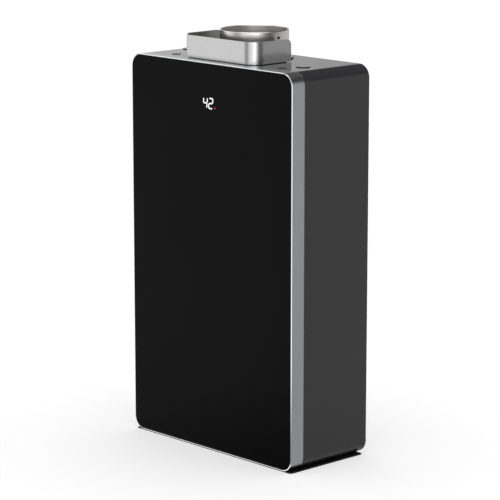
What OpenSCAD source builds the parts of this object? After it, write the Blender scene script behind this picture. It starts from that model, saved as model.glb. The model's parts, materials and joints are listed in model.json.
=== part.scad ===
// Propane tankless water heater: a slim wall-hung case with a glass front cover, a round flue
// collar inside a bent shroud on top, and the burner unit, gas train and water line inside.
// Millimetres. +Z is up, the glass faces -Y, and Z = 0 is the underside of the base plate.

/* [Body] */
// Width of the case and of the front cover
body_w = 350; // [336:1:400]
// Height of the case from the base plate to its top
body_h = 590; // [580:1:660]
// Depth from the front of the trim to the back edge of the case
body_d = 158; // [152:1:176]
// Radius of the four corners seen from the front
corner_r = 20; // [15:1:24]
// Sheet thickness of the painted case
case_t = 1.6; // [1.2:0.1:2.2]
// Width of the case's folded rear lip
rear_lip_w = 11; // [8:0.5:13]
// Width of the case's folded front lip
front_lip_w = 8; // [6:0.5:9]
// Thickness of the black base plate
base_t = 1.5; // [1.2:0.1:4]
// How far the base plate is set in from the case's sides
base_side_in = 2; // [0:0.5:8]
// How far the base plate is set in from the front of the trim
base_front_in = 1; // [0:0.5:10]
// How far the base plate is set in from the back edge of the case
base_rear_in = 5; // [0:0.5:12]
// Corner radius of the base plate
base_corner_r = 5; // [2:0.5:12]
// Thickness of the back panel
back_t = 1.5; // [1:0.1:2.5]

/* [Front cover] */
// Depth of the aluminium band behind the front edge
band_d = 25.3; // [22:0.1:30]
// Width of the bright edge round the glass
trim_w = 1.4; // [1.2:0.1:2]
// Bevel on the front edge of the band
trim_bevel = 0.8; // [0.3:0.1:1]
// Wall of the aluminium band
frame_t = 2; // [2:0.1:3]
// Width of the ledge that the glass is bonded to
ledge_w = 10; // [8:0.5:12]
// Thickness of the ledge and of the rear flange
ledge_t = 1.6; // [1.2:0.1:2.4]
// Thickness of the glass
glass_t = 4; // [3:0.5:6]
// Gap round the edge of the glass
glass_gap = 0.15; // [0.1:0.05:0.4]
// Thickness of the bonding tape
tape_t = 0.8; // [0.5:0.1:1.2]
// Shadow gap between the cover and the fixed parts
cover_gap = 0.4; // [0.3:0.05:0.7]
// Height of the display's centre above the base plate
display_z = 530; // [480:1:540]
// Width of the display board
display_w = 64; // [50:1:90]
// Height of the display board
display_h = 42; // [36:1:60]

/* [Flue] */
// Distance of the flue axis from the back edge
flue_back = 66.5; // [64:0.5:72]
// Outer radius of the flue collar
collar_r = 51.7; // [48:0.1:53]
// Wall of the flue collar
collar_t = 2; // [1.5:0.1:3]
// Height of the collar's rim above the top of the case
collar_h = 43.4; // [38:0.1:60]
// Radius of the black gasket under the collar
gasket_r = 58.3; // [57:0.1:60]
// Thickness of that gasket
gasket_t = 1.7; // [1.5:0.1:4]
// Width of the shroud
shroud_w = 147.2; // [136:0.1:160]
// Length of the shroud's right wall from the front
shroud_d = 76.5; // [60:0.1:100]
// Length of the shroud's left wall from the front
shroud_left_d = 71.7; // [60:0.1:100]
// How much higher the left wall stands than the front
shroud_left_rise = 2.4; // [0:0.1:4]
// Height of the shroud's rim above the top of the case
shroud_h = 34; // [28:0.1:42]
// Sheet thickness of the shroud
shroud_t = 1.2; // [0.8:0.1:2]
// How far the shroud's front reaches over the cover
shroud_reach = 5.4; // [1:0.1:6]
// Outer radius of the shroud's wide bend
shroud_bend_r = 22; // [10:0.5:26]
// Outer radius of the shroud's tight bend
shroud_fold_r = 3; // [2.5:0.1:8]
// Radius of the wall ends at the top
shroud_end_r = 9; // [4:0.5:14]
// Height of the seal strip under the shroud
shroud_lift = 1.1; // [0.8:0.1:2]

/* [Top fittings] */
// Distance between the two top screws
top_screw_span = 230; // [200:1:250]
// Distance of the top screws behind the seam
top_screw_back = 12.4; // [10:0.1:18]
// Radius of the heads of the top screws
top_screw_r = 7; // [5:0.5:8]
// Radius of the sampling caps
cap_r = 10.5; // [8:0.5:12]
// Height of the sampling caps
cap_h = 1.2; // [0.8:0.1:4]
// Place of the right cap from the flue axis, across
cap_right_x = 127.5; // [110:0.5:135]
// Place of the right cap from the flue axis, to the front
cap_right_y = 23.5; // [10:0.5:30]
// Place of the left cap from the flue axis, across
cap_left_x = 145; // [110:0.5:146]

/* [Burner unit] */
// Width of chamber and exchanger
unit_w = 250; // [220:1:260]
// Depth of chamber and exchanger
unit_d = 96; // [92:1:100]
// Sheet thickness of the unit
unit_t = 1.2; // [0.8:0.1:2]
// Depth of the brackets behind the unit
bracket_d = 16; // [15:0.5:18]
// Height of the exhaust hood
hood_h = 40; // [34:1:50]
// Space between the hood and the top of the case
hood_drop = 12; // [8:0.5:16]
// Height of the heat exchanger
exchanger_h = 92; // [80:1:100]
// Height of the combustion chamber
chamber_h = 105; // [100:1:115]
// Height of the burner tray
tray_h = 62; // [58:1:68]
// Pitch of the exchanger's fins
fin_pitch = 6; // [4:0.5:12]
// Thickness of a fin
fin_t = 0.6; // [0.4:0.1:1]
// Outer radius of the water coil
coil_r = 6; // [5:0.25:6.5]
// Wall of the water pipes
pipe_t = 1; // [0.6:0.1:1.5]
// Pitch of the exchanger's tubes
tube_pitch = 22; // [20:0.5:23]
// Number of burner bars
burner_count = 10; // [6:1:11]
// Pitch of the burner bars
burner_pitch = 22; // [18:0.5:22]
// Width of a burner bar
burner_w = 15; // [10:0.5:16]
// Radius of the gas manifold
manifold_r = 8; // [6:0.5:9]

/* [Blower] */
// Place of the blower's axis, across
fan_x = -50; // [-56:1:-44]
// Drop of the blower's axis below the burner tray
fan_drop = 74; // [72:1:80]
// Outer radius of the scroll housing
scroll_r = 60; // [56:0.5:62]
// Depth of the scroll housing
scroll_d = 56; // [48:1:60]
// Radius of the blower wheel
wheel_r = 48; // [40:0.5:50]
// Radius of the intake
intake_r = 37; // [30:0.5:40]
// Number of blades
blade_count = 28; // [18:1:40]
// Radius of the motor shaft
shaft_r = 3; // [2.5:0.1:4]
// Radius of the blower motor
motor_r = 31; // [26:0.5:34]
// Depth of the blower motor
motor_d = 25; // [18:0.5:27]

/* [Gas and water] */
// Distance of the nipples from the back edge
nipple_back = 61; // [58:0.5:64]
// Place of the gas nipple, across
gas_x = 75; // [70:1:80]
// Place of the cold nipple, across
cold_x = 0; // [-8:1:6]
// Place of the hot nipple, across
hot_x = -80; // [-84:1:-72]
// Radius of the pipe nipples
nipple_r = 13.3; // [10.5:0.1:13.5]
// Bore radius of the pipe nipples
nipple_bore = 9.5; // [7:0.1:10]
// Free length of the nipples below the pan
nipple_len = 24; // [20:0.5:26]
// Depth of the connection pan
pan_h = 29; // [27:0.5:34]
// Width of the connection pan
pan_w = 224; // [216:1:228]
// Depth of the connection pan, front to back
pan_d = 88; // [80:1:90]
// Height of the gas valve's body
valve_h = 60; // [50:1:66]
// Radius of the solenoid
solenoid_r = 15; // [12:0.5:17]
// Radius of the gas plunger
plunger_r = 5; // [3.5:0.1:6]
// Travel of the gas plunger
plunger_travel = 3; // [2:0.1:4]
// Radius of the flow sensor's body
flow_r = 16; // [15:0.5:18]
// Length of the flow sensor's body
flow_h = 50; // [46:1:56]
// Radius of the servo's spindle
spindle_r = 4; // [3:0.1:5]

/* [Wall fixing and electrics] */
// Distance between the wall fixing holes, across
wall_hole_w = 300; // [284:1:304]
// Distance between the wall fixing holes, upwards
wall_hole_h = 480; // [440:1:490]
// Radius of the wall fixing holes
wall_hole_r = 3.5; // [2.5:0.1:5]
// Height of the lower holes above the base
wall_hole_z = 60; // [52:1:70]
// Thickness of the wall rails
rail_t = 3; // [2:0.1:4]
// Height of the wall rails
rail_h = 36; // [28:1:44]
// Width of the control tray
control_w = 130; // [110:1:134]
// Height of the control tray
control_h = 172; // [140:1:176]
// Depth of the control tray
control_d = 24; // [22:0.5:28]
// Wall of the control tray
control_t = 2; // [1.5:0.1:3]

/* [Hidden] */
$fn = 64;

// Clearances
touch_gap = 0.3;
run_gap = 0.05;
cut = 1;
min_run = 0.01;

// Main planes of the body
front_y = -body_d / 2;
back_y = body_d / 2;
half_w = body_w / 2;
case_z0 = base_t;
case_z1 = base_t + body_h;
mid_z = base_t + body_h / 2;
seam_y = front_y + band_d;
case_y0 = seam_y + cover_gap;
inner_x = half_w - case_t;
floor_z = case_z0 + case_t;
roof_z = case_z1 - case_t;
panel_y1 = back_y - case_t;
panel_y0 = panel_y1 - back_t;
rail_y0 = panel_y0 - rail_t;

// Cover
glass_y0 = front_y + glass_gap;
glass_y1 = glass_y0 + glass_t;
ledge_y0 = glass_y1 + tape_t;
ledge_y1 = ledge_y0 + ledge_t;
seal_t = 4;
tape_inset = 1;
flange_y1 = case_y0 - seal_t;
flange_y0 = flange_y1 - ledge_t;
digits_t = 8;
pcb_t = 1.6;
digits_w = 36;
digits_h = 22;

// Flue
flue_y = back_y - flue_back;
collar_bore_r = collar_r - collar_t;
collar_z0 = case_z1 + gasket_t;
collar_z1 = case_z1 + collar_h;
collar_flange_t = 1.2;
collar_flange_r = gasket_r - 0.8;
collar_screw_r = 2.3;
collar_screw_h = 1.4;
collar_screw_drop = 9.5;
flange_screw_r = 2.2;
shroud_y0 = seam_y - shroud_reach;
shroud_y1 = shroud_y0 + shroud_d;
shroud_left_y1 = shroud_y0 + shroud_left_d;
shroud_z0 = case_z1 + shroud_lift;
shroud_z1 = case_z1 + shroud_h;
shroud_left_z1 = shroud_z1 + shroud_left_rise;
shroud_flange_w = 9;
shroud_seal_inset = 0.7;
min_bend = 0.5;
spigot_gap = 7;
spigot_r = collar_bore_r - spigot_gap;
spigot_z1 = case_z1;

// Top fittings
top_screw_y = seam_y + top_screw_back;
top_screw_x = top_screw_span / 2;
top_screw_h = 1.1;
shank_r = 2.5;
brace_t = 2.5;
brace_w = 20;
brace_end = 14;
brace_z0 = roof_z - brace_t;
shank_end = 3;
shank_z0 = brace_z0 - shank_end;
cap_stem_r = 5;
cap_stem_len = 7;

// Burner unit, hung from the roof and the back
unit_y1 = rail_y0 - bracket_d;
unit_y0 = unit_y1 - unit_d;
unit_mid_y = (unit_y0 + unit_y1) / 2;
unit_x = unit_w / 2;
hood_z1 = roof_z - hood_drop;
hood_z0 = hood_z1 - hood_h;
hood_shoulder = 12;
hood_skirt = 6;
hood_top_w = 2 * (spigot_r + hood_shoulder);
exchanger_z0 = hood_z0 - exchanger_h;
tube_z = exchanger_z0 + exchanger_h / 2;
chamber_z0 = exchanger_z0 - chamber_h;
tray_z0 = chamber_z0 - tray_h;
bracket_x = 77.5;
bracket_half = 14;
bracket_t = 2;
bend_r = tube_pitch / 2;
bend_gap = 3;
bend_x = unit_x + bend_gap + bend_r;
coil_front_y = unit_y0 - coil_r - touch_gap;
coil_back_y = unit_y1 + coil_r + touch_gap;
coil_rise = 40;
coil_pitch = 35;
coil_z_low = chamber_z0 + coil_rise;
coil_z_high = coil_z_low + coil_pitch;
coil_step_x = unit_x / 2;
riser_gap = 4;
riser_x = bend_x + 2 * coil_r + riser_gap;
tube_y = [for (i = [0:3]) unit_mid_y + (1.5 - i) * tube_pitch];
fin_inset = 6;
fin_margin = 18;
fin_h = exchanger_h - 2 * fin_margin;
fin_span = unit_w - 2 * (unit_t + fin_inset);
fin_count = floor(fin_span / fin_pitch);

// Burners and manifold
burner_gap = 5;
burner_drop = 10;
burner_y0 = unit_y0 + unit_t + burner_gap;
burner_y1 = unit_y1 - unit_t - burner_gap;
burner_z0 = tray_z0 + unit_t;
burner_h = tray_h - unit_t - burner_drop;
burner_x0 = -(burner_count - 1) * burner_pitch / 2;
slot_w = 3.75;
slot_margin = 6;
slot_floor = 8;
manifold_up = 20;
manifold_gap = 4;
manifold_end = 15;
manifold_t = 1.5;
manifold_plug = 2;
manifold_z = tray_z0 + manifold_up;
manifold_y = unit_y0 - manifold_gap - manifold_r;
manifold_x = manifold_end - burner_x0;
nozzle_r = 3.5;
nozzle_gap = 1;
venturi_r = 5;

// Blower
fan_z = tray_z0 - fan_drop;
scroll_t = 2;
scroll_back = 12;
scroll_y1 = unit_y1 - scroll_back;
scroll_y0 = scroll_y1 - scroll_d;
scroll_x0 = fan_x - scroll_r;
outlet_w = 56;
outlet_up = 2;
outlet_x1 = scroll_x0 + outlet_w;
outlet_z = fan_z + scroll_r + outlet_up;
wheel_gap = 3;
wheel_y0 = scroll_y0 + scroll_t + wheel_gap;
wheel_y1 = scroll_y1 - scroll_t - wheel_gap;
disc_t = 2;
blade_t = 1;
ring_w = 9;
blade_len = 7;
blade_lean = 25;
hub_r = 7;
hub_len = 12;
hub_hole_r = 9;
motor_y0 = scroll_y1;
motor_y1 = motor_y0 + motor_d;
motor_cap_t = 3;
shaft_y1 = motor_y1 - motor_cap_t - cut;

// Gas and water line
nipple_y = back_y - nipple_back;
pan_t = 1.5;
pan_z1 = floor_z + pan_h;
pan_y0 = nipple_y - pan_d / 2;
pan_y1 = nipple_y + pan_d / 2;
nipple_z0 = pan_z1 - pan_t - nipple_len;
nipple_flange_t = 3;
nipple_flange_r = nipple_r + 4;
neck_t = 2;
neck_r = nipple_bore + neck_t;
body_z0 = pan_z1;
valve_up = 76;
valve_z0 = body_z0 + valve_up;
valve_z1 = valve_z0 + valve_h;
valve_half = 30;
valve_front = 28;
valve_rear = 26;
valve_y0 = nipple_y - valve_front;
valve_y1 = nipple_y + valve_rear;
valve_stem_r = nipple_flange_r - 3;
port_d = 12;
gas_out_y = nipple_y - 16;
solenoid_y = nipple_y + 9;
solenoid_t = 3;
plunger_z0 = valve_z1 + touch_gap;
plunger_h = 24;
plunger_z1 = plunger_z0 + plunger_h;
spring_wire_r = 0.5;
spring_turns = 6;
spring_slack = 9;
spring_r = plunger_r - spring_wire_r - 0.4;
spring_len = 2 * spring_wire_r * spring_turns + plunger_travel + spring_slack;
bobbin_z1 = plunger_z1 + spring_len;
solenoid_z1 = bobbin_z1 + solenoid_t;
gas_bend = 14;
gas_pipe_r = 5.7;
gas_pipe_gap = 4;
gas_run_z = tray_z0 - gas_pipe_r - gas_pipe_gap;
gas_seat = 1;
cold_body_h = 34;
cold_half = 17;
flow_z0 = body_z0 + cold_body_h;
flow_z1 = flow_z0 + flow_h;
flow_bore = 10.5;
flow_cap_t = 6;
turbine_gap = 1.6;
turbine_r = flow_bore - turbine_gap;
turbine_hub_r = 4;
turbine_pin_r = 1.5;
turbine_up = 16;
turbine_z0 = flow_z0 + turbine_up;
turbine_h = 16;
vane_count = 6;
vane_lean = 30;
vane_t = 1.2;
vane_h = 10;
spider_t = 4;
spider_gap = 1;
spider_hub_r = 3.5;
spider_arm = 2;
cold_rise = 6;
cold_run_z = flow_z1 + bend_r + cold_rise;
servo_d = 30;
servo_half = 15;
servo_y1 = nipple_y - cold_half;
servo_y0 = servo_y1 - servo_d;
servo_z = body_z0 + cold_body_h / 2;
knob_t = 5;
knob_r = spindle_r + 4;
knob_y0 = servo_y0 - knob_t;
mark_w = 2;
mark_d = 1.5;
spindle_y1 = nipple_y - 6;
hot_body_h = 40;
hot_half = 15;
hot_in_drop = 15;
hot_roof = 6;
hot_in_z = body_z0 + hot_body_h - hot_in_drop;
strainer_y0 = nipple_y + cold_half;
strainer_r = 9;
strainer_t = 3;
strainer_hex_r = 8;
strainer_hex_h = 7;
sensor_hex_r = 7.5;
sensor_hex_h = 6;
sensor_r = 5;
sensor_h = 14;

// Wall fixing
wall_hole_top = wall_hole_z + wall_hole_h;
rail_side = 11.4;
rail_x = inner_x - rail_side;

// Electrics
control_side = 12;
control_up = 68;
control_back = 13;
control_x1 = inner_x - control_side;
control_x0 = control_x1 - control_w;
control_z0 = floor_z + control_up;
control_z1 = control_z0 + control_h;
control_y1 = unit_y0 + control_back;
control_y0 = control_y1 - control_d;
control_mid_x = (control_x0 + control_x1) / 2;
control_mid_z = (control_z0 + control_z1) / 2;
post_inset = 10;
post_r = 3;
tab_d = 16;
tab_half = 10;
tab_t = 2;
tab_step = 55;
board_stand = 3;
board_y1 = control_y1 - control_t - board_stand;
board_y0 = board_y1 - pcb_t;
board_gap = 2;
relay_w = 18;
relay_h = 15;
relay_tall = 14;
relay_pitch = 24;
relay_up = 52;
can_r = 6;
can_tall = 15;
can_pitch = 16;
can_up = 20;
sink_w = 24;
sink_h = 34;
sink_t = 3;
sink_x = 28;
sink_up = 14;
sink_fin_t = 1.6;
sink_fin_tall = 13;
sink_fin_pitch = 5;
chip_w = 16;
chip_t = 2.4;
chip_x = -20;
chip_up = -16;
plug_w = 11;
plug_h = 8;
plug_tall = 10;
plug_pitch = 15;
plug_up = -58;
fuse_w = 7;
fuse_h = 12;
fuse_tall = 6;
fuse_pitch = 11;
fuse_x = 18.5;
fuse_up = -30;
transformer_w = 44;
transformer_d = 48;
transformer_h = 46;
transformer_foot_t = 3;
core_inset = 9;
winding_inset_x = 8;
winding_inset_y = 2;
winding_half = 11;
transformer_y0 = control_y1 + touch_gap;
transformer_z0 = pan_z1 + touch_gap;
switch_r = 9;
switch_h = 7;
switch_x = 41.5;
switch_up = 20;
blade_tab_w = 6;
blade_tab_t = 0.8;
blade_tab_len = 7;
igniter_t = 26;
igniter_d = 44;
igniter_h = 84;
igniter_y0 = unit_mid_y - 4;
igniter_y1 = igniter_y0 + igniter_d;
igniter_z0 = tray_z0 - 30;
igniter_z1 = igniter_z0 + igniter_h;
spark_post_r = 4;
spark_post_len = 8;
spark_drop = 12;
electrode_up = 14;
electrode_z = chamber_z0 + electrode_up;
electrode_step = 24;
electrode_in = 8;
electrode_rod_r = 1.2;
electrode_rod_len = 16;
electrode_y0 = manifold_y - manifold_r;
lead_r = 1.6;
lead_bend = 8;
lead_y = electrode_y0 - lead_r - touch_gap;
spark_x = -(inner_x + riser_x + coil_r) / 2;
spark_z = igniter_z1 - spark_drop;
spark_y = igniter_y0 - spark_post_len;
spark_turn_y = tube_y[3] - coil_r - lead_r - riser_gap;
lead_end = 3;
sense_across = 30;
sense_up = 12;
sense_x = gas_x + sense_across;
sense_y = (control_y0 + control_y1) / 2;
sense_z = manifold_z + manifold_r + sense_up;
gland_r = 9;
gland_thread_r = 6.3;
gland_bore_r = 4;
gland_body_h = 12;
gland_nut_h = 5;
gland_z0 = pan_z1 - pan_t - gland_body_h;
gland_z1 = pan_z1 + 2 * gland_nut_h;
gland_x = (cold_x + gas_x) / 2;

// Solids and runs that repeat

// A box between its lowest and its highest corner
module block(lo, hi) {
    translate(lo) cube(hi - lo);
}

// A round bar along Z
module bar_z(x, y, r, z0, z1) {
    translate([x, y, z0]) cylinder(h = z1 - z0, r = r);
}

// A round bar along Y
module bar_y(x, z, r, y0, y1) {
    translate([x, y0, z]) rotate([-90, 0, 0]) cylinder(h = y1 - y0, r = r);
}

// A round bar along X
module bar_x(y, z, r, x0, x1) {
    translate([x0, y, z]) rotate([0, 90, 0]) cylinder(h = x1 - x0, r = r);
}

// A flat outline in X and Z, made a slab between two planes of Y
module slab(y0, y1) {
    translate([0, y1, 0]) rotate([90, 0, 0]) linear_extrude(y1 - y0) children();
}

// A rectangle with round corners
module rounded_rect(w, h, r) {
    square([w - 2 * r, h], center = true);
    square([w, h - 2 * r], center = true);
    for (sx = [-1, 1], sy = [-1, 1])
        translate([sx * (w / 2 - r), sy * (h / 2 - r)]) circle(r);
}

// The body's outline seen from the front, drawn in by a margin
module body_outline(inset) {
    translate([0, mid_z])
        rounded_rect(body_w - 2 * inset, body_h - 2 * inset, max(corner_r - inset, 1));
}

// One straight side of a frame whose section is drawn from the corner's centre outwards
module frame_side(offset, length) {
    translate([offset, length / 2, 0]) rotate([90, 0, 0]) linear_extrude(length) children();
}

// A section swept round the body's outline
module frame_sweep() {
    straight_x = half_w - corner_r;
    straight_z = body_h / 2 - corner_r;
    translate([0, 0, mid_z]) rotate([90, 0, 0]) {
        for (turn = [0, 180]) {
            rotate([0, 0, turn]) frame_side(straight_x, 2 * straight_z) children();
            rotate([0, 0, turn + 90]) frame_side(straight_z, 2 * straight_x) children();
        }
        for (i = [0:3])
            translate([(i == 0 || i == 3 ? 1 : -1) * straight_x, (i < 2 ? 1 : -1) * straight_z, 0])
                rotate([0, 0, 90 * i]) rotate_extrude(angle = 90) children();
    }
}

// A point of such a section: depth in from the outline, and place along Y
function section_point(inset, y) = [corner_r - inset, -y];

// Children set at a point with given X and Y directions
module set_at(origin, x_dir, y_dir) {
    z_dir = cross(x_dir, y_dir);
    multmatrix([
        [x_dir.x, y_dir.x, z_dir.x, origin.x],
        [x_dir.y, y_dir.y, z_dir.y, origin.y],
        [x_dir.z, y_dir.z, z_dir.z, origin.z],
        [0, 0, 0, 1]
    ]) children();
}

function unit(v) = v / norm(v);

// The section of a pipe, or of a solid lead where the wall is as thick as the radius
module pipe_section(r, wall) {
    difference() {
        circle(r);
        if (wall < r) circle(r - wall);
    }
}

// A pipe along square turns, each with the same bend
module pipe_run(points, r, wall, bend) {
    last = len(points) - 1;
    for (i = [1:last]) {
        along = unit(points[i] - points[i - 1]);
        start = points[i - 1] + along * (i == 1 ? 0 : bend);
        stop = points[i] - along * (i == last ? 0 : bend);
        side = abs(along.z) > 0.5 ? [1, 0, 0] : [0, 0, 1];
        if (norm(stop - start) > min_run)
            set_at(start, side, cross(along, side))
                linear_extrude(norm(stop - start)) pipe_section(r, wall);
        if (i < last) {
            turn = unit(points[i + 1] - points[i]);
            set_at(stop + turn * bend, -turn, along)
                rotate_extrude(angle = 90) translate([bend, 0]) pipe_section(r, wall);
        }
    }
}

// An open box of sheet: outer corners, wall, and a cutter that leaves two faces open
module sheet_box(lo, hi, wall, open_lo, open_hi) {
    difference() {
        block(lo, hi);
        block(lo + wall * ([1, 1, 1] - open_lo) - cut * open_lo,
              hi - wall * ([1, 1, 1] - open_hi) + cut * open_hi);
    }
}

// A spring wound up Z, as one swept tube
module coil_spring(r, wire_r, turns, height) {
    sides = 6;
    rings = 8 * turns;
    points = [
        for (i = [0:rings], j = [0:sides - 1])
            let (turn = 360 * turns * i / rings, around = 360 * j / sides,
                 reach = r + wire_r * cos(around))
            [reach * cos(turn), reach * sin(turn),
             wire_r + (height - 2 * wire_r) * i / rings + wire_r * sin(around)]
    ];
    walls = [
        for (i = [0:rings - 1], j = [0:sides - 1])
            let (k = (j + 1) % sides, a = i * sides + j, b = i * sides + k,
                 c = (i + 1) * sides + k, d = (i + 1) * sides + j)
            each [[a, b, c], [a, c, d]]
    ];
    first = [for (j = [1:sides - 2]) [0, j + 1, j]];
    base = rings * sides;
    end = [for (j = [1:sides - 2]) [base, base + j, base + j + 1]];
    polyhedron(points, concat(walls, first, end));
}

// A pipe nipple with a flange under the pan and a neck up through it
module nipple(x) {
    flange_z1 = pan_z1 - pan_t;
    difference() {
        union() {
            bar_z(x, nipple_y, nipple_r, nipple_z0, flange_z1);
            bar_z(x, nipple_y, nipple_flange_r, flange_z1 - nipple_flange_t, flange_z1);
            bar_z(x, nipple_y, neck_r, flange_z1, body_z0);
        }
        bar_z(x, nipple_y, nipple_bore, nipple_z0 - cut, body_z0 + cut);
    }
}

// A low cap with a stem through the top of the case
module sampling_cap(x, y) {
    bar_z(x, y, cap_r, case_z1, case_z1 + cap_h);
    bar_z(x, y, cap_stem_r, case_z1 - cap_stem_len, case_z1);
}

// A hole in the roof for a stem or a shank
module roof_hole(x, y, r) {
    bar_z(x, y, r, brace_z0 - cut, case_z1 + cut);
}

// Case

// The window in the bottom that the pipes come through
module bay_window() {
    block([-pan_w / 2 + pan_t, pan_y0 + pan_t, -cut],
          [pan_w / 2 - pan_t, pan_y1 - pan_t, floor_z + cut]);
}

module base_plate() {
    color("#141414") difference() {
        translate([0, (base_front_in - base_rear_in) / 2, 0]) linear_extrude(base_t)
            rounded_rect(body_w - 2 * base_side_in, body_d - base_front_in - base_rear_in, base_corner_r);
        block([-half_w - cut, front_y - cut, base_t - cover_gap],
              [half_w + cut, case_y0, base_t + cut]);
        bay_window();
    }
}

module case_shell() {
    color("#3d3d3f") difference() {
        frame_sweep() polygon([
            section_point(0, case_y0),
            section_point(0, back_y),
            section_point(rear_lip_w, back_y),
            section_point(rear_lip_w, panel_y1),
            section_point(case_t, panel_y1),
            section_point(case_t, case_y0 + case_t),
            section_point(front_lip_w, case_y0 + case_t),
            section_point(front_lip_w, case_y0)
        ]);
        bay_window();
        roof_hole(0, flue_y, spigot_r + touch_gap);
        roof_hole(cap_right_x, flue_y - cap_right_y, cap_stem_r + touch_gap);
        roof_hole(-cap_left_x, flue_y, cap_stem_r + touch_gap);
        for (side = [-1, 1]) roof_hole(side * top_screw_x, top_screw_y, shank_r + touch_gap);
    }
}

// The four wall fixing holes
module wall_holes() {
    for (side = [-1, 1], z = [wall_hole_z, wall_hole_top])
        bar_y(side * wall_hole_w / 2, z, wall_hole_r, rail_y0 - cut, back_y + cut);
}

module back_panel() {
    color("#8d9093") difference() {
        slab(panel_y0, panel_y1) body_outline(case_t + touch_gap);
        wall_holes();
    }
}

module wall_rails() {
    color("#a7abad") difference() {
        for (z = [wall_hole_z, wall_hole_top])
            translate([0, 0, z])
                block([-rail_x, rail_y0, -rail_h / 2], [rail_x, panel_y0, rail_h / 2]);
        wall_holes();
    }
}

// A bent bracket between the unit and what is behind it
module unit_bracket(x, z, y1) {
    web_y0 = unit_y1 + bracket_t;
    web_y1 = y1 - bracket_t;
    translate([x, 0, z]) {
        block([-bracket_half, unit_y1, -bracket_half], [bracket_half, web_y0, bracket_half]);
        block([-bracket_half, web_y0, -bracket_t / 2], [bracket_half, web_y1, bracket_t / 2]);
        block([-bracket_half, web_y1, -bracket_half], [bracket_half, y1, bracket_half]);
    }
}

module unit_brackets() {
    color("#a7abad") for (side = [-1, 1]) {
        unit_bracket(side * bracket_x, wall_hole_top, rail_y0);
        unit_bracket(side * bracket_x, tray_z0 + tray_h / 2, panel_y0);
    }
}

module top_brace() {
    brace_x = top_screw_x + brace_end;
    color("#a7abad") difference() {
        block([-brace_x, top_screw_y - brace_w / 2, brace_z0],
              [brace_x, top_screw_y + brace_w / 2, roof_z]);
        for (side = [-1, 1]) roof_hole(side * top_screw_x, top_screw_y, shank_r + touch_gap);
        bar_z(0, flue_y, spigot_r + touch_gap, brace_z0 - cut, roof_z + cut);
    }
}

module connection_pan() {
    color("#8d9093") difference() {
        sheet_box([-pan_w / 2, pan_y0, floor_z], [pan_w / 2, pan_y1, pan_z1], pan_t,
                  [0, 0, 1], [0, 0, 0]);
        for (x = [gas_x, cold_x, hot_x])
            bar_z(x, nipple_y, neck_r + touch_gap, pan_z1 - pan_t - cut, pan_z1 + cut);
        bar_z(gland_x, nipple_y, gland_thread_r + touch_gap, pan_z1 - pan_t - cut, pan_z1 + cut);
    }
}

// Front cover

module front_frame() {
    color("#b4b5b7") frame_sweep() polygon([
        section_point(0, front_y + trim_bevel),
        section_point(trim_bevel, front_y),
        section_point(trim_w, front_y),
        section_point(trim_w, ledge_y0),
        section_point(ledge_w, ledge_y0),
        section_point(ledge_w, ledge_y1),
        section_point(frame_t, ledge_y1),
        section_point(frame_t, flange_y0),
        section_point(ledge_w, flange_y0),
        section_point(ledge_w, flange_y1),
        section_point(frame_t, flange_y1),
        section_point(frame_t, seam_y),
        section_point(0, seam_y)
    ]);
}

module front_glass() {
    color("#111112") slab(glass_y0, glass_y1) body_outline(trim_w + glass_gap);
}

module glass_tape() {
    color("#0a0a0a") slab(glass_y1, ledge_y0) difference() {
        body_outline(trim_w + tape_inset);
        body_outline(ledge_w - tape_inset);
    }
}

module cover_seal() {
    color("#1b1b1b") slab(flange_y1 + touch_gap, case_y0) difference() {
        body_outline(frame_t + touch_gap);
        body_outline(front_lip_w);
    }
}

module display_board() {
    color("#1c5a34") translate([0, 0, display_z])
        block([-display_w / 2, glass_y1 + digits_t, -display_h / 2],
              [display_w / 2, glass_y1 + digits_t + pcb_t, display_h / 2]);
}

module display_digits() {
    color("#202022") translate([0, 0, display_z])
        block([-digits_w / 2, glass_y1, -digits_h / 2],
              [digits_w / 2, glass_y1 + digits_t, digits_h / 2]);
}

// Flue and top fittings

// The shroud's plan, drawn in by a margin: one wide bend at the right, one tight bend at the left
module shroud_plan(inset, back) {
    x = shroud_w / 2 - inset;
    y0 = shroud_y0 + inset;
    wide = max(shroud_bend_r - inset, min_bend);
    tight = max(shroud_fold_r - inset, min_bend);
    translate([-x, y0 + wide]) square([2 * x, back - y0 - wide]);
    translate([-x + tight, y0]) square([2 * x - wide - tight, wide + cut]);
    translate([-x, y0 + tight]) square([2 * x - wide, wide + cut]);
    translate([x - wide, y0 + wide]) circle(wide);
    translate([-x + tight, y0 + tight]) circle(tight);
}

// A stretch of the shroud's outline seen from the side, with its far top corner rounded
module shroud_side(x0, x1, y0, y1, top) {
    rotate([90, 0, 90]) translate([0, 0, x0]) linear_extrude(x1 - x0) {
        translate([y0, shroud_z0]) square([y1 - y0, top - shroud_z0 - shroud_end_r]);
        translate([y0, shroud_z0]) square([y1 - y0 - shroud_end_r, top - shroud_z0]);
        translate([y1 - shroud_end_r, top - shroud_end_r]) circle(shroud_end_r);
    }
}

module flue_shroud() {
    color("#c9c9c9") {
        intersection() {
            translate([0, 0, shroud_z0]) linear_extrude(shroud_left_z1 - shroud_z0) difference() {
                shroud_plan(0, shroud_y1);
                shroud_plan(shroud_t, shroud_y1 + cut);
            }
            union() {
                shroud_side(-shroud_w / 2 - cut, cut, shroud_y0 - cut, shroud_left_y1, shroud_z1);
                shroud_side(-shroud_w / 2 - cut, cut, shroud_y0 + shroud_fold_r, shroud_left_y1, shroud_left_z1);
                shroud_side(0, shroud_w / 2 + cut, shroud_y0 - cut, shroud_y1, shroud_z1);
            }
        }
        difference() {
            translate([0, 0, shroud_z0]) linear_extrude(shroud_t) difference() {
                shroud_plan(shroud_t, shroud_y1 - shroud_end_r);
                shroud_plan(shroud_t + shroud_flange_w, shroud_y1 + cut);
            }
            bar_z(0, flue_y, gasket_r + touch_gap, shroud_z0 - cut, shroud_z1);
        }
    }
}

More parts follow.
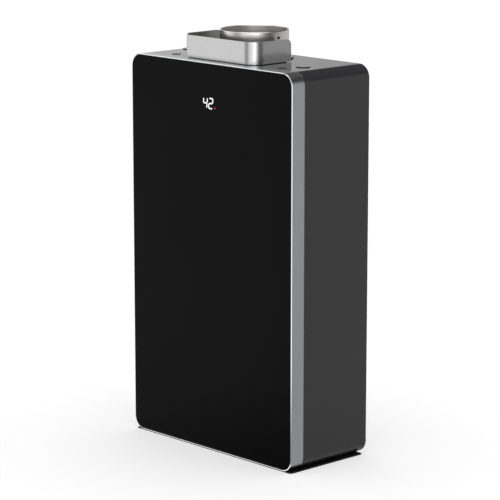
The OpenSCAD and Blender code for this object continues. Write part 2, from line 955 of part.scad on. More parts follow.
module shroud_seal() {
    color("#0c0c0c") difference() {
        translate([0, 0, case_z1]) linear_extrude(shroud_lift) difference() {
            shroud_plan(shroud_seal_inset, shroud_y1 - shroud_end_r);
            shroud_plan(shroud_t + shroud_flange_w, shroud_y1 + cut);
        }
        block([-shroud_w, shroud_y0 - cut, case_z1 - cut], [shroud_w, case_y0, shroud_z1]);
        bar_z(0, flue_y, gasket_r + touch_gap, case_z1 - cut, shroud_z1);
    }
}

module flue_collar() {
    color("#bfbdb8") translate([0, flue_y, 0]) difference() {
        rotate_extrude() {
            translate([collar_bore_r, collar_z0])
                square([collar_t, collar_z1 - collar_z0 - collar_t / 2]);
            translate([collar_bore_r + collar_t / 2, collar_z1 - collar_t / 2]) circle(collar_t / 2);
            translate([collar_bore_r, collar_z0])
                square([collar_flange_r - collar_bore_r, collar_flange_t]);
        }
        for (turn = [0, 120, 240]) rotate([0, 0, turn])
            bar_x(0, collar_z1 - collar_screw_drop, collar_screw_r / 2,
                  collar_r - collar_t / 2, collar_r + cut);
    }
}

module flue_gasket() {
    color("#0c0c0c") difference() {
        bar_z(0, flue_y, gasket_r, case_z1, collar_z0);
        bar_z(0, flue_y, collar_bore_r + 1, case_z1 - cut, collar_z0 + cut);
    }
}

module collar_screws() {
    flange_mid_r = (collar_r + collar_flange_r) / 2;
    screw_z = collar_z1 - collar_screw_drop;
    color("#2a2a2a") translate([0, flue_y, 0]) {
        for (turn = [0, 120, 240]) rotate([0, 0, turn]) {
            difference() {
                bar_x(0, screw_z, collar_screw_r, collar_r - cut, collar_r + collar_screw_h);
                bar_z(0, 0, collar_r + run_gap, case_z1, collar_z1);
            }
            bar_x(0, screw_z, collar_screw_r / 2 - run_gap, collar_r - collar_t / 2, collar_r + cut);
        }
        for (turn = [0:90:270]) rotate([0, 0, turn])
            bar_z(flange_mid_r, 0, flange_screw_r, collar_z0 + collar_flange_t,
                  collar_z0 + collar_flange_t + collar_screw_h);
    }
}

module sampling_caps() {
    color("#4a4a4c") {
        sampling_cap(cap_right_x, flue_y - cap_right_y);
        sampling_cap(-cap_left_x, flue_y);
    }
}

module top_screws() {
    color("#2a2a2a") for (side = [-1, 1]) {
        bar_z(side * top_screw_x, top_screw_y, top_screw_r, case_z1, case_z1 + top_screw_h);
        bar_z(side * top_screw_x, top_screw_y, shank_r, shank_z0, case_z1);
    }
}

// Burner unit

// The hood's outline seen from the front, drawn in by a margin
module hood_outline(inset, bottom) {
    polygon([
        [-unit_x + inset, bottom],
        [unit_x - inset, bottom],
        [unit_x - inset, hood_z0 + hood_skirt],
        [hood_top_w / 2 - inset, hood_z1 - inset],
        [-hood_top_w / 2 + inset, hood_z1 - inset],
        [-unit_x + inset, hood_z0 + hood_skirt]
    ]);
}

module exhaust_hood() {
    color("#b9b9b7") difference() {
        union() {
            slab(unit_y0, unit_y1) hood_outline(0, hood_z0);
            bar_z(0, flue_y, spigot_r, hood_z1 - unit_t, spigot_z1);
        }
        slab(unit_y0 + unit_t, unit_y1 - unit_t) hood_outline(unit_t, hood_z0 - cut);
        bar_z(0, flue_y, spigot_r - unit_t, hood_z1 - 2 * unit_t, spigot_z1 + cut);
    }
}

// The holes for the four tubes of the exchanger
module tube_holes(x0, x1) {
    for (y = tube_y) bar_x(y, tube_z, coil_r + touch_gap, x0, x1);
}

module exchanger_jacket() {
    color("#b87a4b") difference() {
        sheet_box([-unit_x, unit_y0, exchanger_z0], [unit_x, unit_y1, hood_z0], unit_t,
                  [0, 0, 1], [0, 0, 1]);
        tube_holes(-unit_x - cut, unit_x + cut);
    }
}

module exchanger_fins() {
    fin_y0 = unit_y0 + unit_t + touch_gap;
    fin_y1 = unit_y1 - unit_t - touch_gap;
    first_x = -(fin_count - 1) * fin_pitch / 2;
    color("#c27c4a") for (i = [0:fin_count - 1])
        translate([first_x + i * fin_pitch - fin_t / 2, 0, tube_z])
            rotate([90, 0, 90]) linear_extrude(fin_t) difference() {
                translate([fin_y0, -fin_h / 2]) square([fin_y1 - fin_y0, fin_h]);
                for (y = tube_y) translate([y, 0]) circle(coil_r + touch_gap / 2);
            }
}

module exchanger_coil() {
    color("#c27c4a") pipe_run([
        [bend_x, coil_back_y, cold_run_z + bend_r],
        [bend_x, coil_back_y, coil_z_low],
        [bend_x, coil_front_y, coil_z_low],
        [-bend_x, coil_front_y, coil_z_low],
        [-bend_x, coil_back_y, coil_z_low],
        [coil_step_x, coil_back_y, coil_z_low],
        [coil_step_x, coil_back_y, coil_z_high],
        [bend_x, coil_back_y, coil_z_high],
        [bend_x, coil_front_y, coil_z_high],
        [-bend_x, coil_front_y, coil_z_high],
        [-bend_x, tube_y[0], coil_z_high],
        [-bend_x, tube_y[0], tube_z],
        [bend_x, tube_y[0], tube_z],
        [bend_x, tube_y[1], tube_z],
        [-bend_x, tube_y[1], tube_z],
        [-bend_x, tube_y[2], tube_z],
        [bend_x, tube_y[2], tube_z],
        [bend_x, tube_y[3], tube_z],
        [-riser_x, tube_y[3], tube_z],
        [-riser_x, tube_y[3], hot_in_z],
        [-riser_x, nipple_y, hot_in_z],
        [hot_x - hot_half, nipple_y, hot_in_z]
    ], coil_r, pipe_t, bend_r);
}

module combustion_chamber() {
    color("#a9a7a2") difference() {
        sheet_box([-unit_x, unit_y0, chamber_z0], [unit_x, unit_y1, exchanger_z0], unit_t,
                  [0, 0, 1], [0, 0, 1]);
        for (i = [-1:1])
            bar_y(i * electrode_step, electrode_z, venturi_r + touch_gap,
                  unit_y0 - cut, unit_y0 + unit_t + cut);
    }
}

// Children at each burner's place across
module at_burners() {
    for (i = [0:burner_count - 1]) translate([burner_x0 + i * burner_pitch, 0, 0]) children();
}

module burner_tray() {
    color("#9c9c9a") difference() {
        sheet_box([-unit_x, unit_y0, tray_z0], [unit_x, unit_y1, chamber_z0], unit_t,
                  [0, 0, 0], [0, 0, 1]);
        at_burners()
            bar_y(0, manifold_z, nozzle_r + touch_gap, unit_y0 - cut, unit_y0 + unit_t + cut);
        block([scroll_x0 + scroll_t, scroll_y0 + scroll_t, tray_z0 - cut],
              [outlet_x1 - scroll_t, scroll_y1 - scroll_t, tray_z0 + unit_t + cut]);
    }
}

module burner_bars() {
    burner_z1 = burner_z0 + burner_h;
    color("#8a8780") at_burners() difference() {
        block([-burner_w / 2, burner_y0, burner_z0], [burner_w / 2, burner_y1, burner_z1]);
        block([-slot_w / 2, burner_y0 + slot_margin, burner_z0 + slot_floor],
              [slot_w / 2, burner_y1 - slot_margin, burner_z1 + cut]);
        bar_y(0, manifold_z, venturi_r, burner_y0 - cut, burner_y0 + slot_margin + cut);
    }
}

module gas_manifold() {
    hollow_x = manifold_x - manifold_plug;
    color("#b9b9b7") difference() {
        bar_x(manifold_y, manifold_z, manifold_r, -manifold_x, manifold_x);
        bar_x(manifold_y, manifold_z, manifold_r - manifold_t, -hollow_x, hollow_x);
        at_burners() bar_y(0, manifold_z, nozzle_r, manifold_y, unit_y0);
        bar_z(gas_x, manifold_y, gas_pipe_r + touch_gap, manifold_z - manifold_r - cut, manifold_z);
    }
}

module gas_nozzles() {
    color("#c9a24a") at_burners()
        bar_y(0, manifold_z, nozzle_r, manifold_y + manifold_r - manifold_t, burner_y0 - nozzle_gap);
}

// Gas train

module gas_nipple() {
    color("#c9a24a") nipple(gas_x);
}

module gas_valve_body() {
    color("#b3b5b8") difference() {
        union() {
            block([gas_x - valve_half, valve_y0, valve_z0], [gas_x + valve_half, valve_y1, valve_z1]);
            bar_z(gas_x, nipple_y, valve_stem_r, body_z0, valve_z0);
        }
        bar_z(gas_x, nipple_y, nipple_bore, body_z0 - cut, valve_z0 + port_d);
        bar_z(gas_x, gas_out_y, gas_pipe_r + touch_gap, valve_z1 - port_d, valve_z1 + cut);
    }
}

module gas_solenoid() {
    color("#2b2d31") difference() {
        bar_z(gas_x, solenoid_y, solenoid_r, valve_z1, solenoid_z1);
        bar_z(gas_x, solenoid_y, plunger_r + run_gap, valve_z1 - cut, bobbin_z1);
    }
}

module gas_plunger() {
    color("#b9bcc0") bar_z(gas_x, solenoid_y, plunger_r, plunger_z0, plunger_z1);
}

module plunger_spring() {
    color("#c8c8c8") translate([gas_x, solenoid_y, plunger_z1])
        coil_spring(spring_r, spring_wire_r, spring_turns, spring_len);
}

module gas_pipe() {
    color("#c9a24a") pipe_run([
        [gas_x, gas_out_y, valve_z1 - port_d],
        [gas_x, gas_out_y, gas_run_z],
        [gas_x, manifold_y, gas_run_z],
        [gas_x, manifold_y, manifold_z - manifold_r + gas_seat]
    ], gas_pipe_r, pipe_t, gas_bend);
}

// Blower

// The scroll's outline seen from the front, drawn in by a margin
module scroll_outline(inset, top) {
    translate([fan_x, fan_z]) circle(scroll_r - inset);
    translate([scroll_x0 + inset, fan_z]) square([outlet_w - 2 * inset, top - fan_z]);
}

module blower_housing() {
    color("#9fa3a6") difference() {
        slab(scroll_y0, scroll_y1) scroll_outline(0, outlet_z);
        slab(scroll_y0 + scroll_t, scroll_y1 - scroll_t) scroll_outline(scroll_t, outlet_z + cut);
        bar_y(fan_x, fan_z, intake_r, scroll_y0 - cut, scroll_y0 + scroll_t + cut);
        bar_y(fan_x, fan_z, hub_hole_r, scroll_y1 - scroll_t - cut, scroll_y1 + cut);
    }
}

module blower_duct() {
    color("#8d9194")
        sheet_box([scroll_x0, scroll_y0, outlet_z], [outlet_x1, scroll_y1, tray_z0], scroll_t,
                  [0, 0, 1], [0, 0, 1]);
}

module blower_wheel() {
    color("#2e3033") translate([fan_x, 0, fan_z]) {
        bar_y(0, 0, wheel_r, wheel_y1 - disc_t, wheel_y1);
        bar_y(0, 0, hub_r, wheel_y1 - disc_t - hub_len, wheel_y1 - disc_t);
        bar_y(0, 0, shaft_r, wheel_y1, shaft_y1);
        difference() {
            bar_y(0, 0, wheel_r, wheel_y0, wheel_y0 + disc_t);
            bar_y(0, 0, wheel_r - ring_w, wheel_y0 - cut, wheel_y0 + disc_t + cut);
        }
        for (i = [0:blade_count - 1])
            rotate([0, 360 * i / blade_count, 0])
                translate([wheel_r - ring_w / 2, 0, 0]) rotate([0, blade_lean, 0])
                    block([-blade_len / 2, wheel_y0 + disc_t / 2, -blade_t / 2],
                          [blade_len / 2, wheel_y1 - disc_t / 2, blade_t / 2]);
    }
}

module blower_motor() {
    color("#5b6065") difference() {
        bar_y(fan_x, fan_z, motor_r, motor_y0, motor_y1);
        bar_y(fan_x, fan_z, shaft_r + run_gap, motor_y0 - cut, motor_y1 - motor_cap_t);
    }
}

// Water line

module cold_nipple() {
    color("#c9a24a") nipple(cold_x);
}

module cold_valve_body() {
    color("#c9a24a") difference() {
        block([cold_x - cold_half, nipple_y - cold_half, body_z0],
              [cold_x + cold_half, nipple_y + cold_half, flow_z0]);
        bar_z(cold_x, nipple_y, nipple_bore, body_z0 - cut, flow_z0 + cut);
        bar_y(cold_x, servo_z, spindle_r + run_gap, nipple_y - cold_half - cut, nipple_y);
    }
}

module flow_sensor_body() {
    color("#26282b") translate([cold_x, nipple_y, 0]) {
        difference() {
            bar_z(0, 0, flow_r, flow_z0, flow_z1);
            bar_z(0, 0, flow_bore, flow_z0 - cut, flow_z1 - flow_cap_t);
            bar_z(0, 0, coil_r - pipe_t, flow_z1 - flow_cap_t - cut, flow_z1 + cut);
        }
        spider(turbine_z0 - spider_gap - spider_t);
        spider(turbine_z0 + turbine_h + spider_gap);
    }
}

// A four-armed bearing for the turbine's pin, across the sensor's bore
module spider(z) {
    difference() {
        translate([0, 0, z]) linear_extrude(spider_t) {
            circle(spider_hub_r);
            intersection() {
                circle(flow_bore + cut);
                for (turn = [0, 90]) rotate(turn) square([2 * flow_r, spider_arm], center = true);
            }
        }
        bar_z(0, 0, turbine_pin_r + run_gap, z - cut, z + spider_t + cut);
    }
}

module flow_turbine() {
    color("#d8d8d4") translate([cold_x, nipple_y, 0]) {
        bar_z(0, 0, turbine_hub_r, turbine_z0, turbine_z0 + turbine_h);
        bar_z(0, 0, turbine_pin_r, turbine_z0 - spider_t, turbine_z0 + turbine_h + spider_t);
        for (i = [0:vane_count - 1])
            rotate([0, 0, 360 * i / vane_count]) translate([0, 0, turbine_z0 + turbine_h / 2])
                rotate([vane_lean, 0, 0])
                    block([turbine_hub_r / 2, -vane_t / 2, -vane_h / 2],
                          [turbine_r, vane_t / 2, vane_h / 2]);
    }
}

module cold_pipe() {
    color("#c27c4a") pipe_run([
        [cold_x, nipple_y, flow_z1],
        [cold_x, nipple_y, cold_run_z],
        [cold_x, coil_back_y, cold_run_z],
        [bend_x, coil_back_y, cold_run_z],
        [bend_x, coil_back_y, cold_run_z + bend_r]
    ], coil_r, pipe_t, bend_r);
}

module water_servo() {
    color("#e4e2da") difference() {
        translate([cold_x, 0, servo_z])
            block([-servo_half, servo_y0, -servo_half], [servo_half, servo_y1, servo_half]);
        bar_y(cold_x, servo_z, spindle_r + run_gap, servo_y0 - cut, servo_y1 + cut);
    }
}

module servo_spindle() {
    color("#c23b2e") {
        bar_y(cold_x, servo_z, spindle_r, servo_y0 - touch_gap, spindle_y1);
        difference() {
            bar_y(cold_x, servo_z, knob_r, knob_y0, servo_y0 - touch_gap);
            translate([cold_x, knob_y0, servo_z])
                block([-mark_w / 2, -cut, -mark_w / 2], [mark_w / 2, mark_d, knob_r + cut]);
        }
    }
}

module strainer_cap() {
    color("#c9a24a") {
        bar_y(cold_x, servo_z, strainer_r, strainer_y0, strainer_y0 + strainer_t);
        translate([cold_x, strainer_y0 + strainer_t, servo_z]) rotate([-90, 0, 0])
            cylinder(h = strainer_hex_h, r = strainer_hex_r, $fn = 6);
    }
}

module hot_nipple() {
    color("#c9a24a") nipple(hot_x);
}

module hot_body() {
    top = body_z0 + hot_body_h;
    color("#c9a24a") difference() {
        block([hot_x - hot_half, nipple_y - hot_half, body_z0],
              [hot_x + hot_half, nipple_y + hot_half, top]);
        bar_z(hot_x, nipple_y, nipple_bore, body_z0 - cut, top - hot_roof);
        bar_x(nipple_y, hot_in_z, coil_r - pipe_t, hot_x - hot_half - cut, hot_x);
    }
}

module outlet_thermistor() {
    top = body_z0 + hot_body_h;
    sensor_z = top + sensor_hex_h;
    color("#d9b65c") {
        translate([hot_x, nipple_y, top]) cylinder(h = sensor_hex_h, r = sensor_hex_r, $fn = 6);
        bar_z(hot_x, nipple_y, sensor_r, sensor_z, sensor_z + sensor_h);
    }
}

// Electrics

module control_tray() {
    color("#232326") {
        sheet_box([control_x0, control_y0, control_z0], [control_x1, control_y1, control_z1], control_t,
                  [0, 1, 0], [0, 0, 0]);
        for (x = [control_x0 + post_inset, control_x1 - post_inset],
             z = [control_z0 + post_inset, control_z1 - post_inset])
            bar_y(x, z, post_r, board_y1, control_y1 - control_t);
    }
}

module control_bracket() {
    x0 = control_x1 + tab_t;
    x1 = inner_x - tab_t;
    tab_y0 = control_y1 - tab_d;
    color("#a7abad") for (side = [-1, 1]) translate([0, 0, control_mid_z + side * tab_step]) {
        block([control_x1, tab_y0, -tab_half], [x0, control_y1, tab_half]);
        block([x0, control_y1 - tab_t, -tab_half], [x1, control_y1, tab_half]);
        block([x1, tab_y0, -tab_half], [inner_x, control_y1, tab_half]);
    }
}

module control_board() {
    margin = control_t + board_gap;
    color("#1c5a34") block([control_x0 + margin, board_y0, control_z0 + margin],
                           [control_x1 - margin, board_y1, control_z1 - margin]);
}

// A box on the board: centre across and up from the board's middle, size, and height
module board_box(x, z, w, h, tall) {
    translate([control_mid_x + x, board_y0, control_mid_z + z])
        block([-w / 2, -tall, -h / 2], [w / 2, 0, h / 2]);
}

// A row of places across the board, in equal steps about a middle
function board_row(count, pitch, middle) = [for (i = [0:count - 1]) middle + (i - (count - 1) / 2) * pitch];

module board_can(x, z, r, tall) {
    bar_y(control_mid_x + x, control_mid_z + z, r, board_y0 - tall, board_y0);
}

module board_components() {
    color("#2c2c30") {
        for (x = board_row(4, relay_pitch, 0)) board_box(x, relay_up, relay_w, relay_h, relay_tall);
        for (x = board_row(3, can_pitch, chip_x)) board_can(x, can_up, can_r, can_tall);
        for (x = board_row(5, sink_fin_pitch, sink_x))
            board_box(x, sink_up, sink_fin_t, sink_h, sink_fin_tall);
        board_box(sink_x, sink_up, sink_w, sink_h, sink_t);
        board_box(chip_x, chip_up, chip_w, chip_w, chip_t);
        for (x = board_row(6, plug_pitch, 0)) board_box(x, plug_up, plug_w, plug_h, plug_tall);
        for (x = board_row(4, fuse_pitch, fuse_x)) board_box(x, fuse_up, fuse_w, fuse_h, fuse_tall);
    }
}

// Its foot is on the right wall of the case
module transformer() {
    winding_z = (transformer_foot_t + transformer_h) / 2;
    color("#4a4f57") translate([inner_x, transformer_y0, transformer_z0]) rotate([0, -90, 0]) {
        block([0, 0, 0], [transformer_w, transformer_d, transformer_foot_t]);
        block([0, core_inset, transformer_foot_t],
              [transformer_w, transformer_d - core_inset, transformer_h]);
        block([winding_inset_x, winding_inset_y, winding_z - winding_half],
              [transformer_w - winding_inset_x, transformer_d - winding_inset_y, winding_z + winding_half]);
    }
}

module overheat_switch() {
    face_y = unit_y0 - switch_h;
    color("#2b2b2e") translate([switch_x, 0, exchanger_z0 + switch_up]) {
        bar_y(0, 0, switch_r, face_y, unit_y0);
        for (side = [-1, 1])
            translate([side * switch_r / 2, 0, 0])
                block([-blade_tab_t / 2, face_y - blade_tab_len, -blade_tab_w / 2],
                      [blade_tab_t / 2, face_y, blade_tab_w / 2]);
    }
}

module igniter() {
    color("#1d1d1f") {
        block([-inner_x, igniter_y0, igniter_z0], [-inner_x + igniter_t, igniter_y1, igniter_z1]);
        bar_y(spark_x, spark_z, spark_post_r, spark_y, igniter_y0);
    }
}

module ignition_electrodes() {
    rod_y0 = unit_y0 + electrode_in;
    color("#e8e4da") for (i = [-1:1]) translate([i * electrode_step, 0, electrode_z]) {
        bar_y(0, 0, venturi_r, electrode_y0, rod_y0);
        bar_y(0, 0, electrode_rod_r, rod_y0, rod_y0 + electrode_rod_len);
    }
}

// The ignition lead from the igniter to an electrode, and the sensing lead to the control tray
module leads() {
    color("#9a2f25") {
        pipe_run([
            [spark_x, spark_y, spark_z],
            [spark_x, spark_turn_y, spark_z],
            [-bend_x, spark_turn_y, spark_z],
            [-bend_x, lead_y, spark_z],
            [-electrode_step, lead_y, spark_z],
            [-electrode_step, lead_y, electrode_z + lead_end]
        ], lead_r, lead_r, lead_bend);
        pipe_run([
            [electrode_step, lead_y, electrode_z + lead_end],
            [electrode_step, lead_y, sense_z],
            [sense_x, lead_y, sense_z],
            [sense_x, lead_y, control_z1 + sense_up],
            [sense_x, sense_y, control_z1 + sense_up],
            [sense_x, sense_y, control_z1]
        ], lead_r, lead_r, lead_bend);
    }
}

module cable_gland() {
    color("#1d1d1f") difference() {
        union() {
            bar_z(gland_x, nipple_y, gland_thread_r, gland_z0 + cut, gland_z1);
            translate([gland_x, nipple_y, gland_z0]) cylinder(h = gland_body_h, r = gland_r, $fn = 6);
            translate([gland_x, nipple_y, pan_z1]) cylinder(h = gland_nut_h, r = gland_r, $fn = 6);
        }
        bar_z(gland_x, nipple_y, gland_bore_r, gland_z0 - cut, gland_z1 + cut);
    }
}

base_plate();
case_shell();
back_panel();
wall_rails();
unit_brackets();
top_brace();
connection_pan();
front_frame();
front_glass();
glass_tape();
cover_seal();
display_board();
display_digits();
flue_shroud();
shroud_seal();
flue_collar();
flue_gasket();
collar_screws();
sampling_caps();
top_screws();
exhaust_hood();
exchanger_jacket();
exchanger_fins();
exchanger_coil();
combustion_chamber();
burner_tray();
burner_bars();
gas_manifold();
gas_nozzles();
gas_nipple();
gas_valve_body();
gas_solenoid();
gas_plunger();
plunger_spring();
gas_pipe();
blower_housing();
blower_duct();
blower_wheel();
blower_motor();
cold_nipple();
cold_valve_body();
flow_sensor_body();
flow_turbine();
cold_pipe();
water_servo();
servo_spindle();
strainer_cap();
hot_nipple();
hot_body();
outlet_thermistor();
control_tray();
control_bracket();
control_board();
board_components();
transformer();
overheat_switch();
igniter();
ignition_electrodes();
leads();
cable_gland();
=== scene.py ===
# %% [markdown]
# # A slim wall-hung water heater
#
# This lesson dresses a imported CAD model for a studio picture. The CAD model is the fixed frame: it says
# where everything is, in metres. Here each piece gets the small roundings, the smooth bends and the
# finish that make it look made rather than drawn.

# %% Load the frame
import json
import math

import bmesh
import bpy
from mathutils import Matrix, Vector


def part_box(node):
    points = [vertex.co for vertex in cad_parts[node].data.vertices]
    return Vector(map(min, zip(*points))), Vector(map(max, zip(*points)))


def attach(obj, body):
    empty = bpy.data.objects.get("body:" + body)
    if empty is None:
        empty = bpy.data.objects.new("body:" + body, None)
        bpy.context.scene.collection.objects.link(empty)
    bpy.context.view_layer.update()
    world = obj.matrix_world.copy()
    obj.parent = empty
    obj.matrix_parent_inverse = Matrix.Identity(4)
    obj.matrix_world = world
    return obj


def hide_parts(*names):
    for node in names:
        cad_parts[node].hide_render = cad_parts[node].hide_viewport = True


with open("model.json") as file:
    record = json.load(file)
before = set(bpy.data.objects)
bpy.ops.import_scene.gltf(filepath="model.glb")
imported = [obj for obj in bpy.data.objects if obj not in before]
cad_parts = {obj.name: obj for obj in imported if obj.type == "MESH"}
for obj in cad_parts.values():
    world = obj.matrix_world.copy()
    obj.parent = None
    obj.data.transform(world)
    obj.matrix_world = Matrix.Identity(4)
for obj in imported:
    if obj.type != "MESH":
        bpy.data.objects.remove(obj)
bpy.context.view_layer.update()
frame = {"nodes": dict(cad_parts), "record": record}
MM = 0.001

# %% [markdown]
# ## The camera
#
# A camera can be placed by eye or worked out from the picture. Here the edges of the case were measured
# in the photograph, and the place, the turn and the lens that make the model's edges fall on them were
# solved for. The lens is long, so the sides hardly converge.

# %% Camera
CAMERA_PLACE = (2.64373, -2.48745, 1.0518)
CAMERA_TURN = 46.707
CAMERA_DOWN = 11.710
LENS_MM = 176.08
SENSOR_MM = 36.0


def as_object(name, data):
    """Puts data into the scene as an object."""
    obj = bpy.data.objects.new(name, data)
    bpy.context.collection.objects.link(obj)
    return obj


camera_data = bpy.data.cameras.new("camera")
camera_data.lens = LENS_MM
camera_data.sensor_width = SENSOR_MM
camera = as_object("camera", camera_data)
camera.location = CAMERA_PLACE
camera.rotation_euler = (math.radians(90 - CAMERA_DOWN), 0, math.radians(CAMERA_TURN))
bpy.context.scene.camera = camera
bpy.context.scene.view_settings.view_transform = "Standard"
print("camera at", CAMERA_PLACE)

# %% [markdown]
# ## Small helpers for materials
#
# Every material below is made of nodes. One function adds a node and another feeds its inputs, with values
# or with links. Colours are written as the hex values that a designer would pick on a screen, and are
# turned to linear light once.


# %% Helpers for materials
def linear(hex_colour):
    """An sRGB hex colour as linear RGBA."""
    parts = [int(hex_colour[i:i + 2], 16) / 255 for i in (1, 3, 5)]
    return tuple(c / 12.92 if c <= 0.04045 else ((c + 0.055) / 1.055) ** 2.4 for c in parts) + (1.0,)


def feed(node, inputs):
    """Sets or links a node's inputs. A node is linked by its first output, a list links several to one."""
    for key, value in inputs.items():
        for source in value if isinstance(value, list) else [value]:
            if isinstance(source, bpy.types.Node):
                source = source.outputs[0]
            if isinstance(source, bpy.types.NodeSocket):
                node.id_data.links.new(source, node.inputs[key])
            else:
                node.inputs[key].default_value = source


def add(tree, kind, inputs=None, **settings):
    """Adds a node, gives it its settings and feeds its inputs."""
    node = tree.nodes.new(kind)
    for name, value in settings.items():
        setattr(node, name, value)
    feed(node, inputs or {})
    return node


def start_material(name, sockets):
    """A new Principled material with constant sockets set, its tree, shader and Object coordinates."""
    material = bpy.data.materials.new(name)
    material.use_nodes = True
    tree = material.node_tree
    shader = tree.nodes["Principled BSDF"]
    feed(shader, sockets)
    return material, tree, shader, add(tree, "ShaderNodeTexCoord").outputs["Object"]


# A Mix node has sockets of the same name for numbers and for colours, so the colours go by their place.
MIX_A, MIX_B, MIX_OUT = 6, 7, 2
GRAIN_LOW, GRAIN_HIGH = 0.3, 0.7


def grained(name, colours, roughness, grain, stretch=(1, 1, 1), bump=0.0, detail=3.0, sockets=None):
    """A material whose colour, roughness and height follow one grain of a real size in millimetres."""
    material, tree, shader, place = start_material(name, sockets or {})
    turned = add(tree, "ShaderNodeMapping", {"Vector": place, "Scale": stretch})
    noise = add(tree, "ShaderNodeTexNoise", {"Vector": turned, "Scale": 1 / (grain * MM), "Detail": detail})
    reach = {"Value": noise, "From Min": GRAIN_LOW, "From Max": GRAIN_HIGH}
    spread = add(tree, "ShaderNodeMapRange", reach)
    low, high = (linear(colour) for colour in colours)
    tint = add(tree, "ShaderNodeMix", {0: spread, MIX_A: low, MIX_B: high}, data_type="RGBA")
    gloss = add(tree, "ShaderNodeMapRange", {**reach, "To Min": roughness[0], "To Max": roughness[1]})
    feed(shader, {"Base Color": tint.outputs[MIX_OUT], "Roughness": gloss})
    if bump:
        feed(shader, {"Normal": add(tree, "ShaderNodeBump", {"Height": noise, "Distance": bump * MM})})
    return material


print("helpers ready")

# %% [markdown]
# ## Finishes of the outside
#
# Five finishes carry the picture: black printed glass, brushed anodised aluminium, a charcoal gloss
# paint, satin stainless sheet and turned stainless tube. Each starts from how the surface is made.

# %% Outside finishes
METAL = {"Metallic": 1.0}

# Tempered glass printed black behind: deep black, a soft mirror, and the faint roller wave of tempering.
black_glass = grained("tempered_glass_printed_black", ("#060607", "#08080a"), (0.05, 0.07), grain=120,
                      bump=0.02, detail=0.0, sockets={"Specular IOR Level": 0.044})
# Anodised aluminium, brushed along its length: fine silver lines that run round the frame.
brushed_aluminium = grained("anodised_aluminium_brushed", ("#c3c4c6", "#cacbcd"), (0.27, 0.30), grain=0.8,
                            stretch=(0.012, 1, 0.012), bump=0.001, sockets=METAL)
# The same aluminium where the front edge is cut by a diamond tool: a thin, clean, bright line.
cut_aluminium = grained("anodised_aluminium_diamond_cut", ("#b6b7b9", "#bfc0c2"), (0.12, 0.16), grain=3,
                        sockets=METAL)
# Baked charcoal enamel over sheet steel: dark, glossy, with the slight orange peel of sprayed paint.
case_paint = grained("charcoal_enamel_sprayed", ("#353537", "#38383a"), (0.30, 0.36), grain=2.2,
                     bump=0.0006, sockets={"Specular IOR Level": 0.0, "Coat Weight": 1.0,
                                           "Coat Roughness": 0.05})
# Stainless sheet with a fine satin grind along its length: soft grey reflections.
satin_stainless = grained("stainless_sheet_satin", ("#b7b7b7", "#c1c1c1"), (0.13, 0.19), grain=0.6,
                          stretch=(0.02, 0.02, 1), bump=0.001, sockets=METAL)
# Stainless tube turned on a lathe: rings round the axis and a slightly warm shine.
turned_stainless = grained("stainless_tube_turned", ("#d2d1cd", "#dad9d6"), (0.21, 0.27), grain=0.7,
                           stretch=(0.02, 0.02, 1), bump=0.001, sockets=METAL)
# The side of the stainless sheet that was never polished, inside the shroud: dull, and coloured a little
# darker as painted shade inside the shroud.
stainless_inside_painted_shade = grained("stainless_mill_finish_painted_shade", ("#a1a1a0", "#adadac"), (0.32, 0.40), grain=1.5,
                         bump=0.002, sockets=METAL)
# The rolled inside of the flue tube: a broad soft shine, and coloured lighter as painted light in the bore.
stainless_bore_painted_light = grained("stainless_tube_rolled_painted_light", ("#dddcd8", "#e5e4e1"), (0.28, 0.36), grain=1.5,
                           stretch=(0.05, 0.05, 1), bump=0.001, sockets=METAL)
# Steel sheet with black powder coat: nearly matt, a very fine pebble.
black_powder_coat = grained("powder_coated_steel_black", ("#141414", "#191919"), (0.45, 0.55), grain=0.8,
                            bump=0.01)
# Zinc-plated screws blackened by chromate: dark, with a little metal in the shine.
black_screw_steel = grained("screw_steel_black", ("#1b1b1c", "#262627"), (0.32, 0.42), grain=0.5,
                            bump=0.003, sockets={"Metallic": 0.6})
# EPDM rubber: matt black with a bloom.
epdm_rubber = grained("epdm_rubber_moulded", ("#0d0d0d", "#141414"), (0.75, 0.85), grain=1.2, bump=0.02)
print("outside finishes ready")

# %% [markdown]
# ## Finishes of the inside
#
# With the cover pulled off, the burner unit and the pipework show: galvanised sheet with its spangle,
# copper, brass, cast aluminium and moulded plastics.

# %% Inside finishes
# Hot-dip galvanised sheet: each zinc crystal is a flat spangle of its own grey.
SPANGLE = 7.0
galvanised_steel, tree, shader, place = start_material("galvanised_sheet_spangled", METAL)
cells = add(tree, "ShaderNodeTexVoronoi", {"Vector": place, "Scale": 1 / (SPANGLE * MM)}).outputs["Color"]
tint = add(tree, "ShaderNodeMix", {0: cells, MIX_A: linear("#9a9ea1"), MIX_B: linear("#bcc0c3")},
           data_type="RGBA")
gloss = add(tree, "ShaderNodeMapRange", {"Value": cells, "To Min": 0.34, "To Max": 0.50})
feed(shader, {"Base Color": tint.outputs[MIX_OUT], "Roughness": gloss})

# Drawn copper, a little browned by heat.
copper = grained("copper_drawn", ("#b8704a", "#d08a60"), (0.22, 0.34), grain=14, bump=0.01, sockets=METAL)
# Machined brass with faint tool marks round each turned part.
brass = grained("brass_machined", ("#c39a50", "#d6b068"), (0.22, 0.30), grain=0.8, stretch=(0.1, 0.1, 1),
                bump=0.004, sockets=METAL)
# Die-cast aluminium: grey, grainy from the mould.
cast_aluminium = grained("aluminium_die_cast", ("#a3a5a7", "#b5b7b9"), (0.42, 0.55), grain=0.7, bump=0.03,
                         sockets=METAL)
# Black ABS with the fine texture of a spark-eroded mould.
black_abs = grained("abs_moulded_black", ("#1b1b1d", "#222224"), (0.42, 0.52), grain=0.5, bump=0.015)
white_abs = grained("abs_moulded_white", ("#dcd9d0", "#e4e1d9"), (0.38, 0.46), grain=0.5, bump=0.01)
red_abs = grained("abs_moulded_red", ("#a82a22", "#b63128"), (0.38, 0.46), grain=0.5, bump=0.01)
blue_abs = grained("abs_moulded_blue", ("#1d4a86", "#22529a"), (0.38, 0.46), grain=0.5, bump=0.01)
